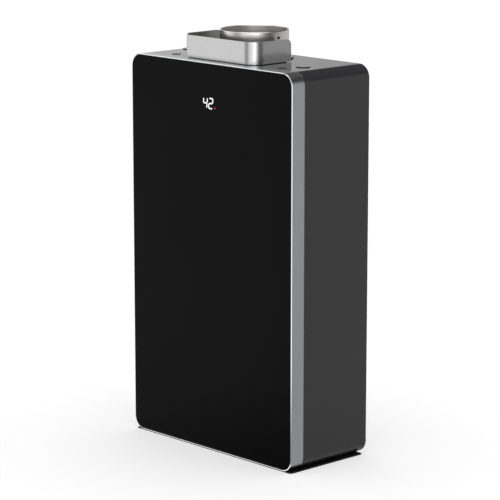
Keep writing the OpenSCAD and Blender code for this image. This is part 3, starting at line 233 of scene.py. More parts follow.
# Film capacitors are dipped in brown epoxy, which stays glossy.
brown_epoxy = grained("epoxy_dipped_brown", ("#7a3a1c", "#864223"), (0.18, 0.26), grain=1.0, bump=0.01)
# Enamelled copper wire wound in layers: fine lines along the winding.
wound_copper = grained("copper_wire_enamelled", ("#8a3f1e", "#a9552b"), (0.28, 0.36), grain=0.9,
                       stretch=(0.05, 0.05, 1), bump=0.05, sockets={"Metallic": 0.8})
# Silicone sleeve of the ignition leads: soft and slightly waxy.
silicone_red = grained("silicone_sleeve_red", ("#8e2019", "#9c281f"), (0.50, 0.60), grain=1.0, bump=0.01)
# Glass-fibre board under green solder mask, with the weave showing as a faint grid.
solder_mask = grained("glass_fibre_board_green", ("#1d5a36", "#236740"), (0.28, 0.36), grain=0.6, bump=0.008)
# Glazed steatite of the spark electrodes.
steatite = grained("steatite_glazed", ("#ded8ca", "#e8e3d8"), (0.14, 0.20), grain=2.0)
# Lit figures of the display: bright and even, as light through a white diffuser.
lit_white = grained("display_segment_lit", ("#f0f0f0", "#f6f6f6"), (0.45, 0.52), grain=0.4,
                    sockets={"Emission Color": linear("#ffffff"), "Emission Strength": 0.7})
lit_red = grained("display_lamp_lit_red", ("#c3202b", "#cb2631"), (0.35, 0.42), grain=0.4,
                  sockets={"Emission Color": linear("#d0202b"), "Emission Strength": 0.5})
print("inside finishes ready")

# %% [markdown]
# ## Making a piece
#
# A piece is drawn in millimetres as a bmesh, then turned into an object in metres that sits at the
# origin, as a CAD node does. Cuts are booleans and small edge roundings are a bevel, and both are applied
# so that the piece is a plain mesh.

# %% Helpers for pieces
MERGE = 1e-4
SHARP_ANGLE = 35


def box_mm(node):
    """A CAD node's lowest and highest corner in millimetres."""
    low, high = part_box(node)
    return low / MM, high / MM


def from_bmesh(name, bm):
    """A bmesh in millimetres as an object in metres."""
    mesh = bpy.data.meshes.new(name)
    bm.to_mesh(mesh)
    bm.free()
    mesh.transform(Matrix.Scale(MM, 4))
    return as_object(name, mesh)


def link_mesh(name, bm):
    """The same for a drawn piece: doubled points are merged and its faces turn outwards."""
    bmesh.ops.remove_doubles(bm, verts=bm.verts, dist=MERGE)
    bmesh.ops.recalc_face_normals(bm, faces=bm.faces)
    return from_bmesh(name, bm)


def apply_modifiers(obj):
    """Turns the evaluated object into its own plain mesh."""
    mesh = bpy.data.meshes.new_from_object(obj.evaluated_get(bpy.context.evaluated_depsgraph_get()))
    obj.modifiers.clear()
    old, obj.data = obj.data, mesh
    bpy.data.meshes.remove(old)
    mesh.name = obj.name


def combine(obj, other, operation="DIFFERENCE"):
    """Cuts another solid out of a piece, or joins it on, and removes the other."""
    boolean = obj.modifiers.new("boolean", "BOOLEAN")
    boolean.object, boolean.operation, boolean.solver = other, operation, "EXACT"
    apply_modifiers(obj)
    bpy.data.objects.remove(other)


def shape(obj, cutters=(), bevel=0.0, steps=2, bevel_angle=SHARP_ANGLE):
    """Cuts and rounds a piece, then shades it smooth up to its sharp edges, with flat faces kept flat."""
    for cutter in cutters:
        combine(obj, cutter)
    if bevel:
        rounding = obj.modifiers.new("rounding", "BEVEL")
        rounding.width = bevel * MM
        rounding.segments = steps
        rounding.limit_method = "ANGLE"
        rounding.angle_limit = math.radians(bevel_angle)
        apply_modifiers(obj)
    obj.data.shade_smooth()
    obj.data.set_sharp_from_angle(angle=math.radians(SHARP_ANGLE))
    even = obj.modifiers.new("even_shading", "WEIGHTED_NORMAL")
    even.keep_sharp = True
    apply_modifiers(obj)
    return obj


# %% Helpers that hand a piece over
BODY = {node: body for body, nodes in frame["record"]["behaviour"]["bodies"].items() for node in nodes}


def stand_for(obj, node, *materials):
    """The piece takes the node's place: its body and its finish."""
    for material in materials:
        obj.data.materials.append(material)
    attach(obj, BODY[node])
    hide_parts(node)
    print(f"{obj.name}: {len(obj.data.polygons)} faces for {node}")


def refinish(obj, material, belongs):
    """Gives another finish to the faces whose centre in millimetres and normal belong to it."""
    obj.data.materials.append(material)
    chosen = [face for face in obj.data.polygons if belongs(face.center / MM, face.normal)]
    for face in chosen:
        face.material_index = len(obj.data.materials) - 1
    print(f"{obj.name}: {len(chosen)} faces of {material.name}")


# %% Helpers for drawing
LATHE_STEPS = 128


def loft(rings, closed):
    """A skin over rings of equal length. A closed loft joins its last ring to its first."""
    bm = bmesh.new()
    rows = [[bm.verts.new(point) for point in ring] for ring in rings]
    count = len(rings[0])
    pairs = list(zip(rows, rows[1:])) + ([(rows[-1], rows[0])] if closed else [])
    for low, high in pairs:
        for i in range(count):
            j = (i + 1) % count
            bm.faces.new((low[i], low[j], high[j], high[i]))
    if not closed:
        bm.faces.new(rows[0])
        bm.faces.new(rows[-1])
    return bm


def bar(name, low, high):
    """A plain box in millimetres, used as a cutter."""
    bm = bmesh.new()
    bmesh.ops.create_cube(bm, size=1.0)
    low, high = Vector(low), Vector(high)
    bmesh.ops.scale(bm, vec=high - low, verts=bm.verts)
    bmesh.ops.translate(bm, vec=(low + high) / 2, verts=bm.verts)
    return link_mesh(name, bm)


def arc(centre, radius, start, stop, steps):
    """Points on an arc, from one angle in degrees to another."""
    turns = [math.radians(start + (stop - start) * i / steps) for i in range(steps + 1)]
    return [(centre[0] + radius * math.cos(t), centre[1] + radius * math.sin(t)) for t in turns]


def circle(centre, radius, steps):
    """Points all round a circle."""
    return arc(centre, radius, 0, 360, steps)[:-1]


def lathe(name, profile, centre):
    """A closed profile of (radius, height) turned round a vertical axis."""
    rounds = [[(x, y, z) for x, y in circle(centre, radius, LATHE_STEPS)] for radius, z in profile]
    return link_mesh(name, loft(list(zip(*rounds)), closed=True))


def upright(name, line, low, high):
    """A plan line of (x, y) points raised to a solid between two heights."""
    return link_mesh(name, loft([[(x, y, z) for x, y in line] for z in (low, high)], closed=False))


print("piece helpers ready")

# %% [markdown]
# ## The body's outline
#
# Seen from the front, the case, the frame and the glass share one outline with round corners. A ring of
# that outline, drawn in by some millimetres and set at some depth, is the building block of all three.

# %% The body's outline
case_low, case_high = box_mm("case_shell")
frame_low, frame_high = box_mm("front_frame")
HALF_W = case_high.x
HALF_H = (case_high.z - case_low.z) / 2
MID_Z = (case_high.z + case_low.z) / 2
CORNER_R = 20.0
CORNER_STEPS = 20


def outline(inset, y):
    """The body's outline drawn in by inset, at depth y."""
    ring = []
    for quarter, (side, up) in enumerate([(1, 1), (-1, 1), (-1, -1), (1, -1)]):
        centre = (side * (HALF_W - CORNER_R), MID_Z + up * (HALF_H - CORNER_R))
        ring += arc(centre, CORNER_R - inset, 90 * quarter, 90 * (quarter + 1), CORNER_STEPS)
    return [(x, y, z) for x, z in ring]


def frame_loft(name, section, closed=True):
    """A section of (inset, depth) points carried round the body's outline."""
    return link_mesh(name, loft([outline(inset, y) for inset, y in section], closed))


print("outline:", 2 * HALF_W, "x", 2 * HALF_H, "mm")

# %% [markdown]
# ## Front frame
#
# The band is an extruded aluminium profile bent round the corners. Its front edge is cut to a bright
# bevel, which shows as the thin line round the glass. Sweeping the section round the outline gives clean
# quads, and the faces of the cut edge get the second finish.

# %% Front frame
TRIM_W = 1.3
TRIM_BEVEL = 0.8
FRAME_T = 2.0
LEDGE_W = 10.0
LEDGE_T = 1.6
FLANGE_STEP = 4.0
EDGE_R = 0.35
glass_low, glass_high = box_mm("front_glass")
FRONT_Y, SEAM_Y = frame_low.y, frame_high.y
LEDGE_Y = box_mm("glass_tape")[1].y
FLANGE_Y = case_low.y - FLANGE_STEP

front_frame = frame_loft("front_frame_band", [
    (0, FRONT_Y + TRIM_BEVEL), (TRIM_BEVEL, FRONT_Y), (TRIM_W, FRONT_Y), (TRIM_W, LEDGE_Y),
    (LEDGE_W, LEDGE_Y), (LEDGE_W, LEDGE_Y + LEDGE_T), (FRAME_T, LEDGE_Y + LEDGE_T),
    (FRAME_T, FLANGE_Y - LEDGE_T), (LEDGE_W, FLANGE_Y - LEDGE_T), (LEDGE_W, FLANGE_Y),
    (FRAME_T, FLANGE_Y), (FRAME_T, SEAM_Y), (EDGE_R, SEAM_Y), (0, SEAM_Y - EDGE_R)])
shape(front_frame)
stand_for(front_frame, "front_frame", brushed_aluminium)
refinish(front_frame, cut_aluminium, lambda c, n: c.y < FRONT_Y + TRIM_BEVEL)

# %% [markdown]
# ## Glass
#
# The glass is a plain slab, but a sheet of tempered glass never has a raw edge: it is seamed by a
# grinding belt. The small chamfer catches the light next to the bright trim.

# %% Front glass
GLASS_GAP = 0.1
GLASS_INSET = TRIM_W + GLASS_GAP
SEAM_CHAMFER = 0.5
front_glass = frame_loft("front_glass_pane", [
    (GLASS_INSET + SEAM_CHAMFER, glass_low.y), (GLASS_INSET, glass_low.y + SEAM_CHAMFER),
    (GLASS_INSET, glass_high.y - SEAM_CHAMFER), (GLASS_INSET + SEAM_CHAMFER, glass_high.y)], closed=False)
shape(front_glass)
stand_for(front_glass, "front_glass", black_glass)

# %% [markdown]
# ## Case
#
# The case is one sheet folded round the body, with lips folded in at the front and the back. The same
# sweep makes it, the folds are rounded by a bevel, and the flue opening and the bay for the pipes are cut
# by booleans.

# %% Case shell
CASE_T = 1.6
FRONT_LIP = 8.0
REAR_LIP = 11.0
FOLD_R = 1.0
FOLD_STEPS = 3
FOLD_ANGLE = 60
CUT = 1.0
PAN_T = 1.5
SPIGOT_R = 42.7
HOLE_GAP = 0.3
HOLE_DEPTH = 10.0
POST_STEPS = 64
panel_high = box_mm("back_panel")[1]
pan_low, pan_high = box_mm("connection_pan")
collar_low, collar_high = box_mm("flue_collar")
FLUE = ((collar_low.x + collar_high.x) / 2, (collar_low.y + collar_high.y) / 2)


def bay_cutter():
    """The window in the bottom that the pipes come through."""
    return bar("bay", (pan_low.x + PAN_T, pan_low.y + PAN_T, -CUT),
               (pan_high.x - PAN_T, pan_high.y - PAN_T, pan_low.z + CUT))


def post(name, centre, radius, low, high):
    """A round bar along Z, used as a cutter."""
    return upright(name, circle(centre, radius, POST_STEPS), low, high)


case_shell = frame_loft("case_shell_wrap", [
    (0, case_low.y), (0, case_high.y), (REAR_LIP, case_high.y), (REAR_LIP, panel_high.y),
    (CASE_T, panel_high.y), (CASE_T, case_low.y + CASE_T), (FRONT_LIP, case_low.y + CASE_T),
    (FRONT_LIP, case_low.y)])
flue_hole = post("flue_hole", FLUE, SPIGOT_R + HOLE_GAP, case_high.z - HOLE_DEPTH, case_high.z + CUT)
shape(case_shell, [bay_cutter(), flue_hole], FOLD_R, FOLD_STEPS, FOLD_ANGLE)
stand_for(case_shell, "case_shell", case_paint)

# %% [markdown]
# ## Base plate
#
# A thin black plate closes the case from below. It is set in from the outline all round, so only a dark
# line of it shows. It steps down in front so that the cover can slide over it, and it has the same window
# for the pipes. Its outline is walked corner by corner and lofted between its two faces.

# %% Base plate
base_low, base_high = box_mm("base_plate")
COVER_GAP = 0.4
BASE_CORNER_R = 5.0
BASE_CORNER_STEPS = 8
BASE_EDGE = 0.3
base_line = []
for start, x, y in ((0, base_high.x, base_high.y), (90, base_low.x, base_high.y),
                    (180, base_low.x, base_low.y), (270, base_high.x, base_low.y)):
    centre = (x - math.copysign(BASE_CORNER_R, x), y - math.copysign(BASE_CORNER_R, y))
    base_line += arc(centre, BASE_CORNER_R, start, start + 90, BASE_CORNER_STEPS)
base_plate = upright("base_plate_sheet", base_line, base_low.z, base_high.z)
cover_step = bar("cover_step", (base_low.x - CUT, base_low.y - CUT, base_high.z - COVER_GAP),
                 (base_high.x + CUT, case_low.y, base_high.z + CUT))
shape(base_plate, [bay_cutter(), cover_step], BASE_EDGE)
stand_for(base_plate, "base_plate", black_powder_coat)

# %% [markdown]
# ## Flue shroud
#
# The shroud is a strip of stainless sheet bent to a U: a wide bend at the right, a tight fold at the left,
# and a foot flange on the inside. Walking along the bent line and setting a small upright section at each
# step gives smooth bends, which is what makes bent sheet metal look right.

# %% The shroud's bent line
shroud_low, shroud_high = box_mm("flue_shroud")
SHEET_T = 1.2
WIDE_R = 22.0
TIGHT_R = 3.0
LEAST_R = 0.5
END_R = 9.0
END_STEPS = 10
FOOT_W = 9.0
GASKET_R = 58.3
BEND_STEPS = 24
LEFT_RISE = 2.4
LEFT_SHORT = 4.8
STEP_LEN = 0.5
SHEET_EDGE = 0.25
BEND_ANGLE = 50
INWARD = -1.0
front_top = shroud_high.z - LEFT_RISE
# The rounded top corner of a wall's end, as ways back and down from the sharp corner.
END_CURVE = arc((-END_R, -END_R), END_R, 90, 0, END_STEPS)


def shroud_line(inset, back):
    """Points of the shroud's plan, drawn in by inset, from the left end round to the right end."""
    points = [(shroud_low.x + inset, back)]
    for centre, radius, start in (((shroud_low.x + TIGHT_R, shroud_low.y + TIGHT_R), TIGHT_R, 180),
                                  ((shroud_high.x - WIDE_R, shroud_low.y + WIDE_R), WIDE_R, 270)):
        reach = max(radius - inset, LEAST_R)
        corner = centre if radius > inset else (shroud_low.x + inset + reach, shroud_low.y + inset + reach)
        points += arc(corner, reach, start, start + 90, BEND_STEPS)
    return points + [(shroud_high.x - inset, back)]


def wall_strip(name, outer, inner, low, tops):
    """A sheet between two plan lines, from one height up to a height for each point."""
    sections = [[(*out, low), (*out, top), (*into, top), (*into, low)]
                for out, into, top in zip(outer, inner, tops)]
    return link_mesh(name, loft(sections, closed=False))


def wall_with_ends(inset):
    """A plan line with extra points along both ends, where the top corner is rounded."""
    line = shroud_line(inset, shroud_high.y)
    ends = [shroud_high.y + back for back, _ in END_CURVE]
    left = [(line[0][0], y - LEFT_SHORT) for y in reversed(ends)]
    left.append((line[0][0], shroud_low.y + TIGHT_R + STEP_LEN))
    right = [(line[-1][0], y) for y in ends]
    return left + line[1:-1] + right


def end_tops():
    """The wall's top at each of those points: the left wall stands higher than the rest."""
    drops = [down for _, down in END_CURVE]
    middle = len(shroud_line(0, 0)) - 2
    return ([shroud_high.z + down for down in reversed(drops)] + [shroud_high.z] + [front_top] * middle
            + [front_top + down for down in drops])


# %% Flue shroud
flue_shroud = wall_strip("flue_shroud_sheet", wall_with_ends(0), wall_with_ends(SHEET_T), shroud_low.z,
                         end_tops())
foot_back = shroud_high.y - END_R
foot_outer = shroud_line(SHEET_T / 2, foot_back)
foot_inner = shroud_line(SHEET_T + FOOT_W, foot_back)
foot = wall_strip("foot", foot_outer, foot_inner, shroud_low.z, [shroud_low.z + SHEET_T] * len(foot_outer))
shape(foot, cutters=[post("foot_relief", FLUE, GASKET_R + HOLE_GAP, shroud_low.z - CUT, shroud_high.z)])
combine(flue_shroud, foot, "UNION")
shape(flue_shroud, bevel=SHEET_EDGE, bevel_angle=BEND_ANGLE)
stand_for(flue_shroud, "flue_shroud", satin_stainless)
# The faces turned towards the flue get the darker stainless: painted shade inside the shroud.
refinish(flue_shroud, stainless_inside_painted_shade, lambda c, n: n.xy.dot(c.xy - Vector(FLUE)) < INWARD)

# %% [markdown]
# ## Flue collar and gasket
#
# Both are turned parts, so a lathe makes them: a closed profile is carried round the flue's axis. The rim
# is rolled to a small bead, and the gasket's edge is soft.

# %% Flue collar and gasket
COLLAR_R = 51.7
COLLAR_T = 2.0
FLANGE_T = 1.2
FLANGE_INSET = 0.8
FILLET_R, FILLET_STEPS = 1.2, 6
RIM_R, RIM_STEPS = COLLAR_T / 2, 12
BORE_MARGIN = 0.1
GASKET_LIP = 1.0
SOFT_R, SOFT_STEPS = 0.8, 5
collar_bore = COLLAR_R - COLLAR_T
flange_r = GASKET_R - FLANGE_INSET
flange_top = collar_low.z + FLANGE_T

collar_profile = [
    (collar_bore, collar_low.z), (flange_r, collar_low.z), (flange_r, flange_top),
    *arc((COLLAR_R + FILLET_R, flange_top + FILLET_R), FILLET_R, 270, 180, FILLET_STEPS),
    *arc((collar_bore + RIM_R, collar_high.z - RIM_R), RIM_R, 0, 180, RIM_STEPS)]
flue_collar = lathe("flue_collar_tube", collar_profile, FLUE)
shape(flue_collar)
stand_for(flue_collar, "flue_collar", turned_stainless)
# The bore's faces get the lighter stainless: painted light inside the tube.
refinish(flue_collar, stainless_bore_painted_light,
         lambda c, n: (c.xy - Vector(FLUE)).length < collar_bore + BORE_MARGIN)

gasket_low, gasket_high = box_mm("flue_gasket")
gasket_bore, gasket_round = collar_bore + GASKET_LIP, GASKET_R - SOFT_R
gasket_profile = [
    (gasket_bore, gasket_low.z),
    *arc((gasket_round, gasket_low.z + SOFT_R), SOFT_R, 270, 360, SOFT_STEPS),
    *arc((gasket_round, gasket_high.z - SOFT_R), SOFT_R, 0, 90, SOFT_STEPS),
    (gasket_bore, gasket_high.z)]
flue_gasket = lathe("flue_gasket_ring", gasket_profile, FLUE)
shape(flue_gasket)
stand_for(flue_gasket, "flue_gasket", epdm_rubber)

# %% [markdown]
# ## Every other node
#
# The other CAD shapes are right as they are, but their edges are knife sharp. A merged copy of each mesh
# gets a small rounding, so that its edges catch light as pressed, cast or moulded edges do.

# %% Softened copies of the CAD nodes
CAD_MERGE = 1e-3
FLAT_ANGLE = 0.5
SOFTEN_ANGLE = 40


def softened(node, material, rounding):
    """A copy of a CAD node with merged flat faces and rounded edges."""
    bm = bmesh.new()
    bm.from_mesh(frame["nodes"][node].data)
    bmesh.ops.scale(bm, vec=(1 / MM,) * 3, verts=bm.verts)
    bmesh.ops.remove_doubles(bm, verts=bm.verts, dist=CAD_MERGE)
    bmesh.ops.dissolve_limit(bm, angle_limit=math.radians(FLAT_ANGLE), verts=bm.verts, edges=bm.edges)
    piece = shape(from_bmesh(node + "_piece", bm), bevel=rounding, bevel_angle=SOFTEN_ANGLE)
    stand_for(piece, node, material)


# For each finish, the nodes that have it and how far their edges are rounded, in millimetres.
NODE_FINISH = [
    (galvanised_steel, {
        "back_panel": 0.2, "wall_rails": 0.4, "unit_brackets": 0.3, "top_brace": 0.3, "connection_pan": 0.4,
        "burner_tray": 0.3, "blower_housing": 0.3, "blower_duct": 0.3, "control_bracket": 0.3}),
    (epdm_rubber, {"glass_tape": 0.1, "cover_seal": 0.4, "shroud_seal": 0.2}),
    (solder_mask, {"display_board": 0.1, "control_board": 0.1}),
    (black_abs, {
        "display_digits": 0.3, "gas_solenoid": 0.4, "blower_wheel": 0.1, "flow_sensor_body": 0.4,
        "control_tray": 0.5, "board_components": 0.2, "overheat_switch": 0.3, "igniter": 0.6,
        "cable_gland": 0.3}),
    (white_abs, {"flow_turbine": 0.1, "water_servo": 0.6}),
    (red_abs, {"servo_spindle": 0.3}),
    (case_paint, {"sampling_caps": 0.35}),
    (black_powder_coat, {"blower_motor": 0.5, "transformer": 0.5}),
    (satin_stainless, {
        "exhaust_hood": 0.3, "combustion_chamber": 0.3, "burner_bars": 0.2, "gas_plunger": 0.2}),
    (copper, {
        "exchanger_jacket": 0.3, "exchanger_fins": 0.0, "exchanger_coil": 0.0, "gas_pipe": 0.0,
        "cold_pipe": 0.0}),
    (cast_aluminium, {"gas_manifold": 0.3, "gas_valve_body": 0.8}),
    (brass, {
        "gas_nozzles": 0.2, "gas_nipple": 0.4, "cold_nipple": 0.4, "cold_valve_body": 0.6,
        "strainer_cap": 0.3, "hot_nipple": 0.4, "hot_body": 0.6, "outlet_thermistor": 0.3}),
    (steatite, {"ignition_electrodes": 0.2}),
    (silicone_red, {"leads": 0.0}),
]
for finish, roundings in NODE_FINISH:
    for node, rounding in roundings.items():
        softened(node, finish, rounding)

# The spring is part of the CAD model's own motion, so it keeps its mesh and gets a finish only.
spring = frame["nodes"]["plunger_spring"]
spring.data.materials.clear()
spring.data.materials.append(satin_stainless)

# %% [markdown]
# ## Finishes within a node
#
# Some CAD nodes hold several small things: the control board carries relays, capacitors, plugs and a heat
# sink, and the transformer is a core with a winding. Their faces are told apart by where they are, and
# each gets the finish of what it is.

# %% Board components and transformer
board, transformer = (bpy.data.objects[name + "_piece"] for name in ("board_components", "transformer"))
parts_low, parts_high = box_mm("board_components")
core_low, core_high = box_mm("transformer")
PLUG_TOP = parts_low.z + 9
FILM_TOP = parts_low.z + 38.5
FILM_LEFT = parts_low.x + 42
SINK_LEFT = parts_high.x - 30
CAN_LOW = parts_low.z + 75.5
RELAY_LOW = parts_high.z - 16
CORE_LEFT = core_high.x - 5
WINDING = 6.0
FACES_FRONT, FACES_SIDE = -0.9, 0.5

refinish(board, white_abs, lambda c, n: c.z < PLUG_TOP)
refinish(board, brown_epoxy, lambda c, n: PLUG_TOP < c.z < FILM_TOP and c.x > FILM_LEFT)
refinish(board, cast_aluminium, lambda c, n: FILM_TOP < c.z < RELAY_LOW and c.x > SINK_LEFT)
refinish(board, satin_stainless,
         lambda c, n: CAN_LOW < c.z < RELAY_LOW and c.x < SINK_LEFT and n.y < FACES_FRONT)
refinish(board, blue_abs, lambda c, n: c.z > RELAY_LOW)
refinish(transformer, wound_copper, lambda c, n: c.x < CORE_LEFT and abs(n.x) < FACES_SIDE
         and (c.y < core_low.y + WINDING or c.y > core_high.y - WINDING))

# %% [markdown]
# ## Screws
#
# A screw is drawn once and set many times, which is what Geometry Nodes do best. The tree takes points,
# each with the way its head faces. It builds one low head on a washer with a cross recess, and sets a copy
# on every point. The result is turned into a plain mesh.


# %% Helpers for Geometry Nodes
def new_tree(name, sizes):
    """A tree with geometry in and out, named sizes as inputs and a finish."""
    tree = bpy.data.node_groups.new(name, "GeometryNodeTree")
    tree.interface.new_socket("Geometry", in_out="INPUT", socket_type="NodeSocketGeometry")
    tree.interface.new_socket("Geometry", in_out="OUTPUT", socket_type="NodeSocketGeometry")
    for size in sizes:
        tree.interface.new_socket(size, in_out="INPUT", socket_type="NodeSocketFloat")
    tree.interface.new_socket("Finish", in_out="INPUT", socket_type="NodeSocketMaterial")
    return tree, add(tree, "NodeGroupInput").outputs


def end_tree(tree, inputs, piece, **turn):
    """Sets a copy of the piece on every point, makes the copies real and gives them the finish."""
    copies = add(tree, "GeometryNodeInstanceOnPoints",
                 {"Points": inputs["Geometry"], "Instance": piece, **turn})
    real = add(tree, "GeometryNodeRealizeInstances", {0: copies})
    done = add(tree, "GeometryNodeSetMaterial", {"Geometry": real, "Material": inputs["Finish"]})
    add(tree, "NodeGroupOutput", {0: done})
    print(f"{tree.name}: {len(tree.nodes)} nodes")
    return tree


def grow(name, tree, points, sizes, finish, facing=None):
    """Sends points in millimetres through a tree and keeps the result as a plain mesh."""
    mesh = bpy.data.meshes.new(name)
    mesh.from_pydata([Vector(point) * MM for point in points], [], [])
    if facing:
        ways = mesh.attributes.new("facing", "FLOAT_VECTOR", "POINT")
        for row, way in zip(ways.data, facing):
            row.vector = way
    obj = as_object(name, mesh)
    nodes = obj.modifiers.new("nodes", "NODES")
    nodes.node_group = tree
    values = {**sizes, "Finish": finish}
    for item in tree.interface.items_tree:
        if item.in_out == "INPUT" and item.name in values:
            nodes[item.identifier] = values[item.name]
    apply_modifiers(obj)
    return shape(obj)


def ride_along(obj, body):
    """A piece that stands for no node of its own."""
    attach(obj, body)
    print(f"{obj.name}: {len(obj.data.polygons)} faces on {body}")


# %% The tree of a screw
ROUND_STEPS, BALL_RINGS = 32, 16
BELOW = 0.1
tree, size = new_tree("cross_recess_screw", [
    "Head radius", "Head height", "Washer radius", "Washer height", "Recess length", "Recess width"])
radius, height = size["Head radius"], size["Head height"]
head_scale = add(tree, "ShaderNodeCombineXYZ", {0: radius, 1: radius, 2: height})
ball = add(tree, "GeometryNodeMeshUVSphere", {"Segments": ROUND_STEPS, "Rings": BALL_RINGS, "Radius": 1.0})
head = add(tree, "GeometryNodeTransform", {"Geometry": ball, "Scale": head_scale})
washer = add(tree, "GeometryNodeMeshCylinder", {
    "Vertices": ROUND_STEPS, "Radius": size["Washer radius"], "Depth": size["Washer height"]})
solid = add(tree, "GeometryNodeMeshBoolean", {"Mesh 2": [head, washer]}, operation="UNION", solver="EXACT")
under = add(tree, "GeometryNodeMeshCube", {"Size": (BELOW, BELOW, BELOW)})
lowered = add(tree, "GeometryNodeTransform", {"Geometry": under, "Translation": (0, 0, -BELOW / 2)})
recess_top = add(tree, "ShaderNodeCombineXYZ", {2: height})
slot_size = add(tree, "ShaderNodeCombineXYZ", {0: size["Recess length"], 1: size["Recess width"], 2: height})
slot_box = add(tree, "GeometryNodeMeshCube", {"Size": slot_size})
cutters = [lowered]
for degrees in (0, 90):
    cutters.append(add(tree, "GeometryNodeTransform", {
        "Geometry": slot_box, "Translation": recess_top, "Rotation": (0, 0, math.radians(degrees))}))
screw = add(tree, "GeometryNodeMeshBoolean", {"Mesh 1": solid, "Mesh 2": cutters},
            operation="DIFFERENCE", solver="EXACT")
facing = add(tree, "GeometryNodeInputNamedAttribute", {"Name": "facing"}, data_type="FLOAT_VECTOR")
turn = add(tree, "FunctionNodeAlignRotationToVector", {"Vector": facing}, axis="Z")
screw_tree = end_tree(tree, size, screw, Rotation=turn)

WASHER_SHARE, RECESS_LONG, RECESS_WIDE = 1.5, 1.1, 0.3


def screw_sizes(radius, height, washer=0.0):
    """Sizes of a screw in metres, from millimetres. Half of the washer's height lies below the seat."""
    return {"Head radius": radius * MM, "Head height": height * MM,
            "Washer radius": max(washer, radius) * MM, "Washer height": WASHER_SHARE * height * MM,
            "Recess length": RECESS_LONG * radius * MM, "Recess width": RECESS_WIDE * radius * MM}


# %% Screws on the top, the collar, the hood and the back
UP, FORWARDS, BACKWARDS = (0, 0, 1), (0, -1, 0), (0, 1, 0)
TOP_HEAD_R, TOP_WASHER_R = 4.4, 7.0
tops_low, tops_high = box_mm("top_screws")
top_y = (tops_low.y + tops_high.y) / 2
top_screws = grow("top_screw_heads", screw_tree,
                  [(x, top_y, case_high.z) for x in (tops_low.x + TOP_WASHER_R, tops_high.x - TOP_WASHER_R)],
                  screw_sizes(TOP_HEAD_R, tops_high.z - case_high.z, TOP_WASHER_R), case_paint, [UP, UP])
stand_for(top_screws, "top_screws")

# Three in the collar's side and four in its flange.
COLLAR_SCREW_DROP = 9.5
SEAT = 0.05
side_z = collar_high.z - COLLAR_SCREW_DROP
places = [(*spot, side_z) for spot in arc(FLUE, COLLAR_R - SEAT, 0, 240, 2)]
places += [(*spot, flange_top) for spot in arc(FLUE, (COLLAR_R + flange_r) / 2, 0, 270, 3)]
ways = [(*way, 0) for way in arc((0, 0), 1, 0, 240, 2)] + [UP] * 4
collar_screws = grow("collar_screw_heads", screw_tree, places, screw_sizes(2.0, 1.3), black_screw_steel, ways)
stand_for(collar_screws, "collar_screws")

SEAM_XS, SEAM_LIFT = (-110, -55, 0, 55, 110), 6
hood_low = box_mm("exhaust_hood")[0]
places = [(x, hood_low.y, hood_low.z + lift) for x in SEAM_XS for lift in (-SEAM_LIFT, SEAM_LIFT)]
hood_screws = grow("hood_seam_screws", screw_tree, places, screw_sizes(3.2, 1.8, washer=4.5),
                   satin_stainless, [FORWARDS] * len(places))
ride_along(hood_screws, "heater")

RAIL_XS, RAIL_H = (-110, -37, 37, 110), 36.0
rails_low, rails_high = box_mm("wall_rails")
rail_zs = (rails_low.z + RAIL_H / 2, rails_high.z - RAIL_H / 2)
places = [(x, panel_high.y, z) for x in RAIL_XS for z in rail_zs]
rail_screws = grow("back_panel_screws", screw_tree, places, screw_sizes(3.0, 1.3, washer=4.0),
                   satin_stainless, [BACKWARDS] * len(places))
ride_along(rail_screws, "heater")

# %% [markdown]
# ## Beads in the back
#
# A flat sheet of this size would drum, so the press that cuts it also forms long beads into it. Each bead
# is a bar with round ends, flattened, with its lower half cut off. They repeat up the panel.

# %% Beads in the back panel
BLOCK = 1.0
tree, size = new_tree("pressed_bead", ["Straight length", "Half width", "Flatness"])
rod = add(tree, "GeometryNodeMeshCylinder", {
    "Vertices": ROUND_STEPS, "Radius": size["Half width"], "Depth": size["Straight length"]})
ball = add(tree, "GeometryNodeMeshUVSphere", {
    "Segments": ROUND_STEPS, "Rings": BALL_RINGS, "Radius": size["Half width"]})
parts = [rod]
for end in (-0.5, 0.5):
    reach = add(tree, "ShaderNodeMath", {0: size["Straight length"], 1: end}, operation="MULTIPLY")
    spot = add(tree, "ShaderNodeCombineXYZ", {2: reach})
    parts.append(add(tree, "GeometryNodeTransform", {"Geometry": ball, "Translation": spot}))
whole = add(tree, "GeometryNodeMeshBoolean", {"Mesh 2": parts}, operation="UNION", solver="EXACT")
under = add(tree, "GeometryNodeMeshCube", {"Size": (BLOCK, BLOCK, BLOCK)})
lowered = add(tree, "GeometryNodeTransform", {"Geometry": under, "Translation": (0, -BLOCK / 2, 0)})
bead = add(tree, "GeometryNodeMeshBoolean", {"Mesh 1": whole, "Mesh 2": lowered},
           operation="DIFFERENCE", solver="EXACT")
flat = add(tree, "ShaderNodeCombineXYZ", {0: 1.0, 1: size["Flatness"], 2: 1.0})
pressed = add(tree, "GeometryNodeTransform", {"Geometry": bead, "Scale": flat})
laid = add(tree, "GeometryNodeTransform", {"Geometry": pressed, "Rotation": (0, math.radians(90), 0)})
bead_tree = end_tree(tree, size, laid)

BEAD_LENGTH = 210.0
BEAD_HALF_W = 9.0
BEAD_RISE = 1.2
BEAD_PITCH = 62.0
bead_places = [(0, panel_high.y, MID_Z + BEAD_PITCH * step) for step in range(-3, 4)]
beads = grow("back_panel_beads", bead_tree, bead_places, {
    "Straight length": BEAD_LENGTH * MM, "Half width": BEAD_HALF_W * MM, "Flatness": BEAD_RISE / BEAD_HALF_W},
    galvanised_steel)
ride_along(beads, "heater")
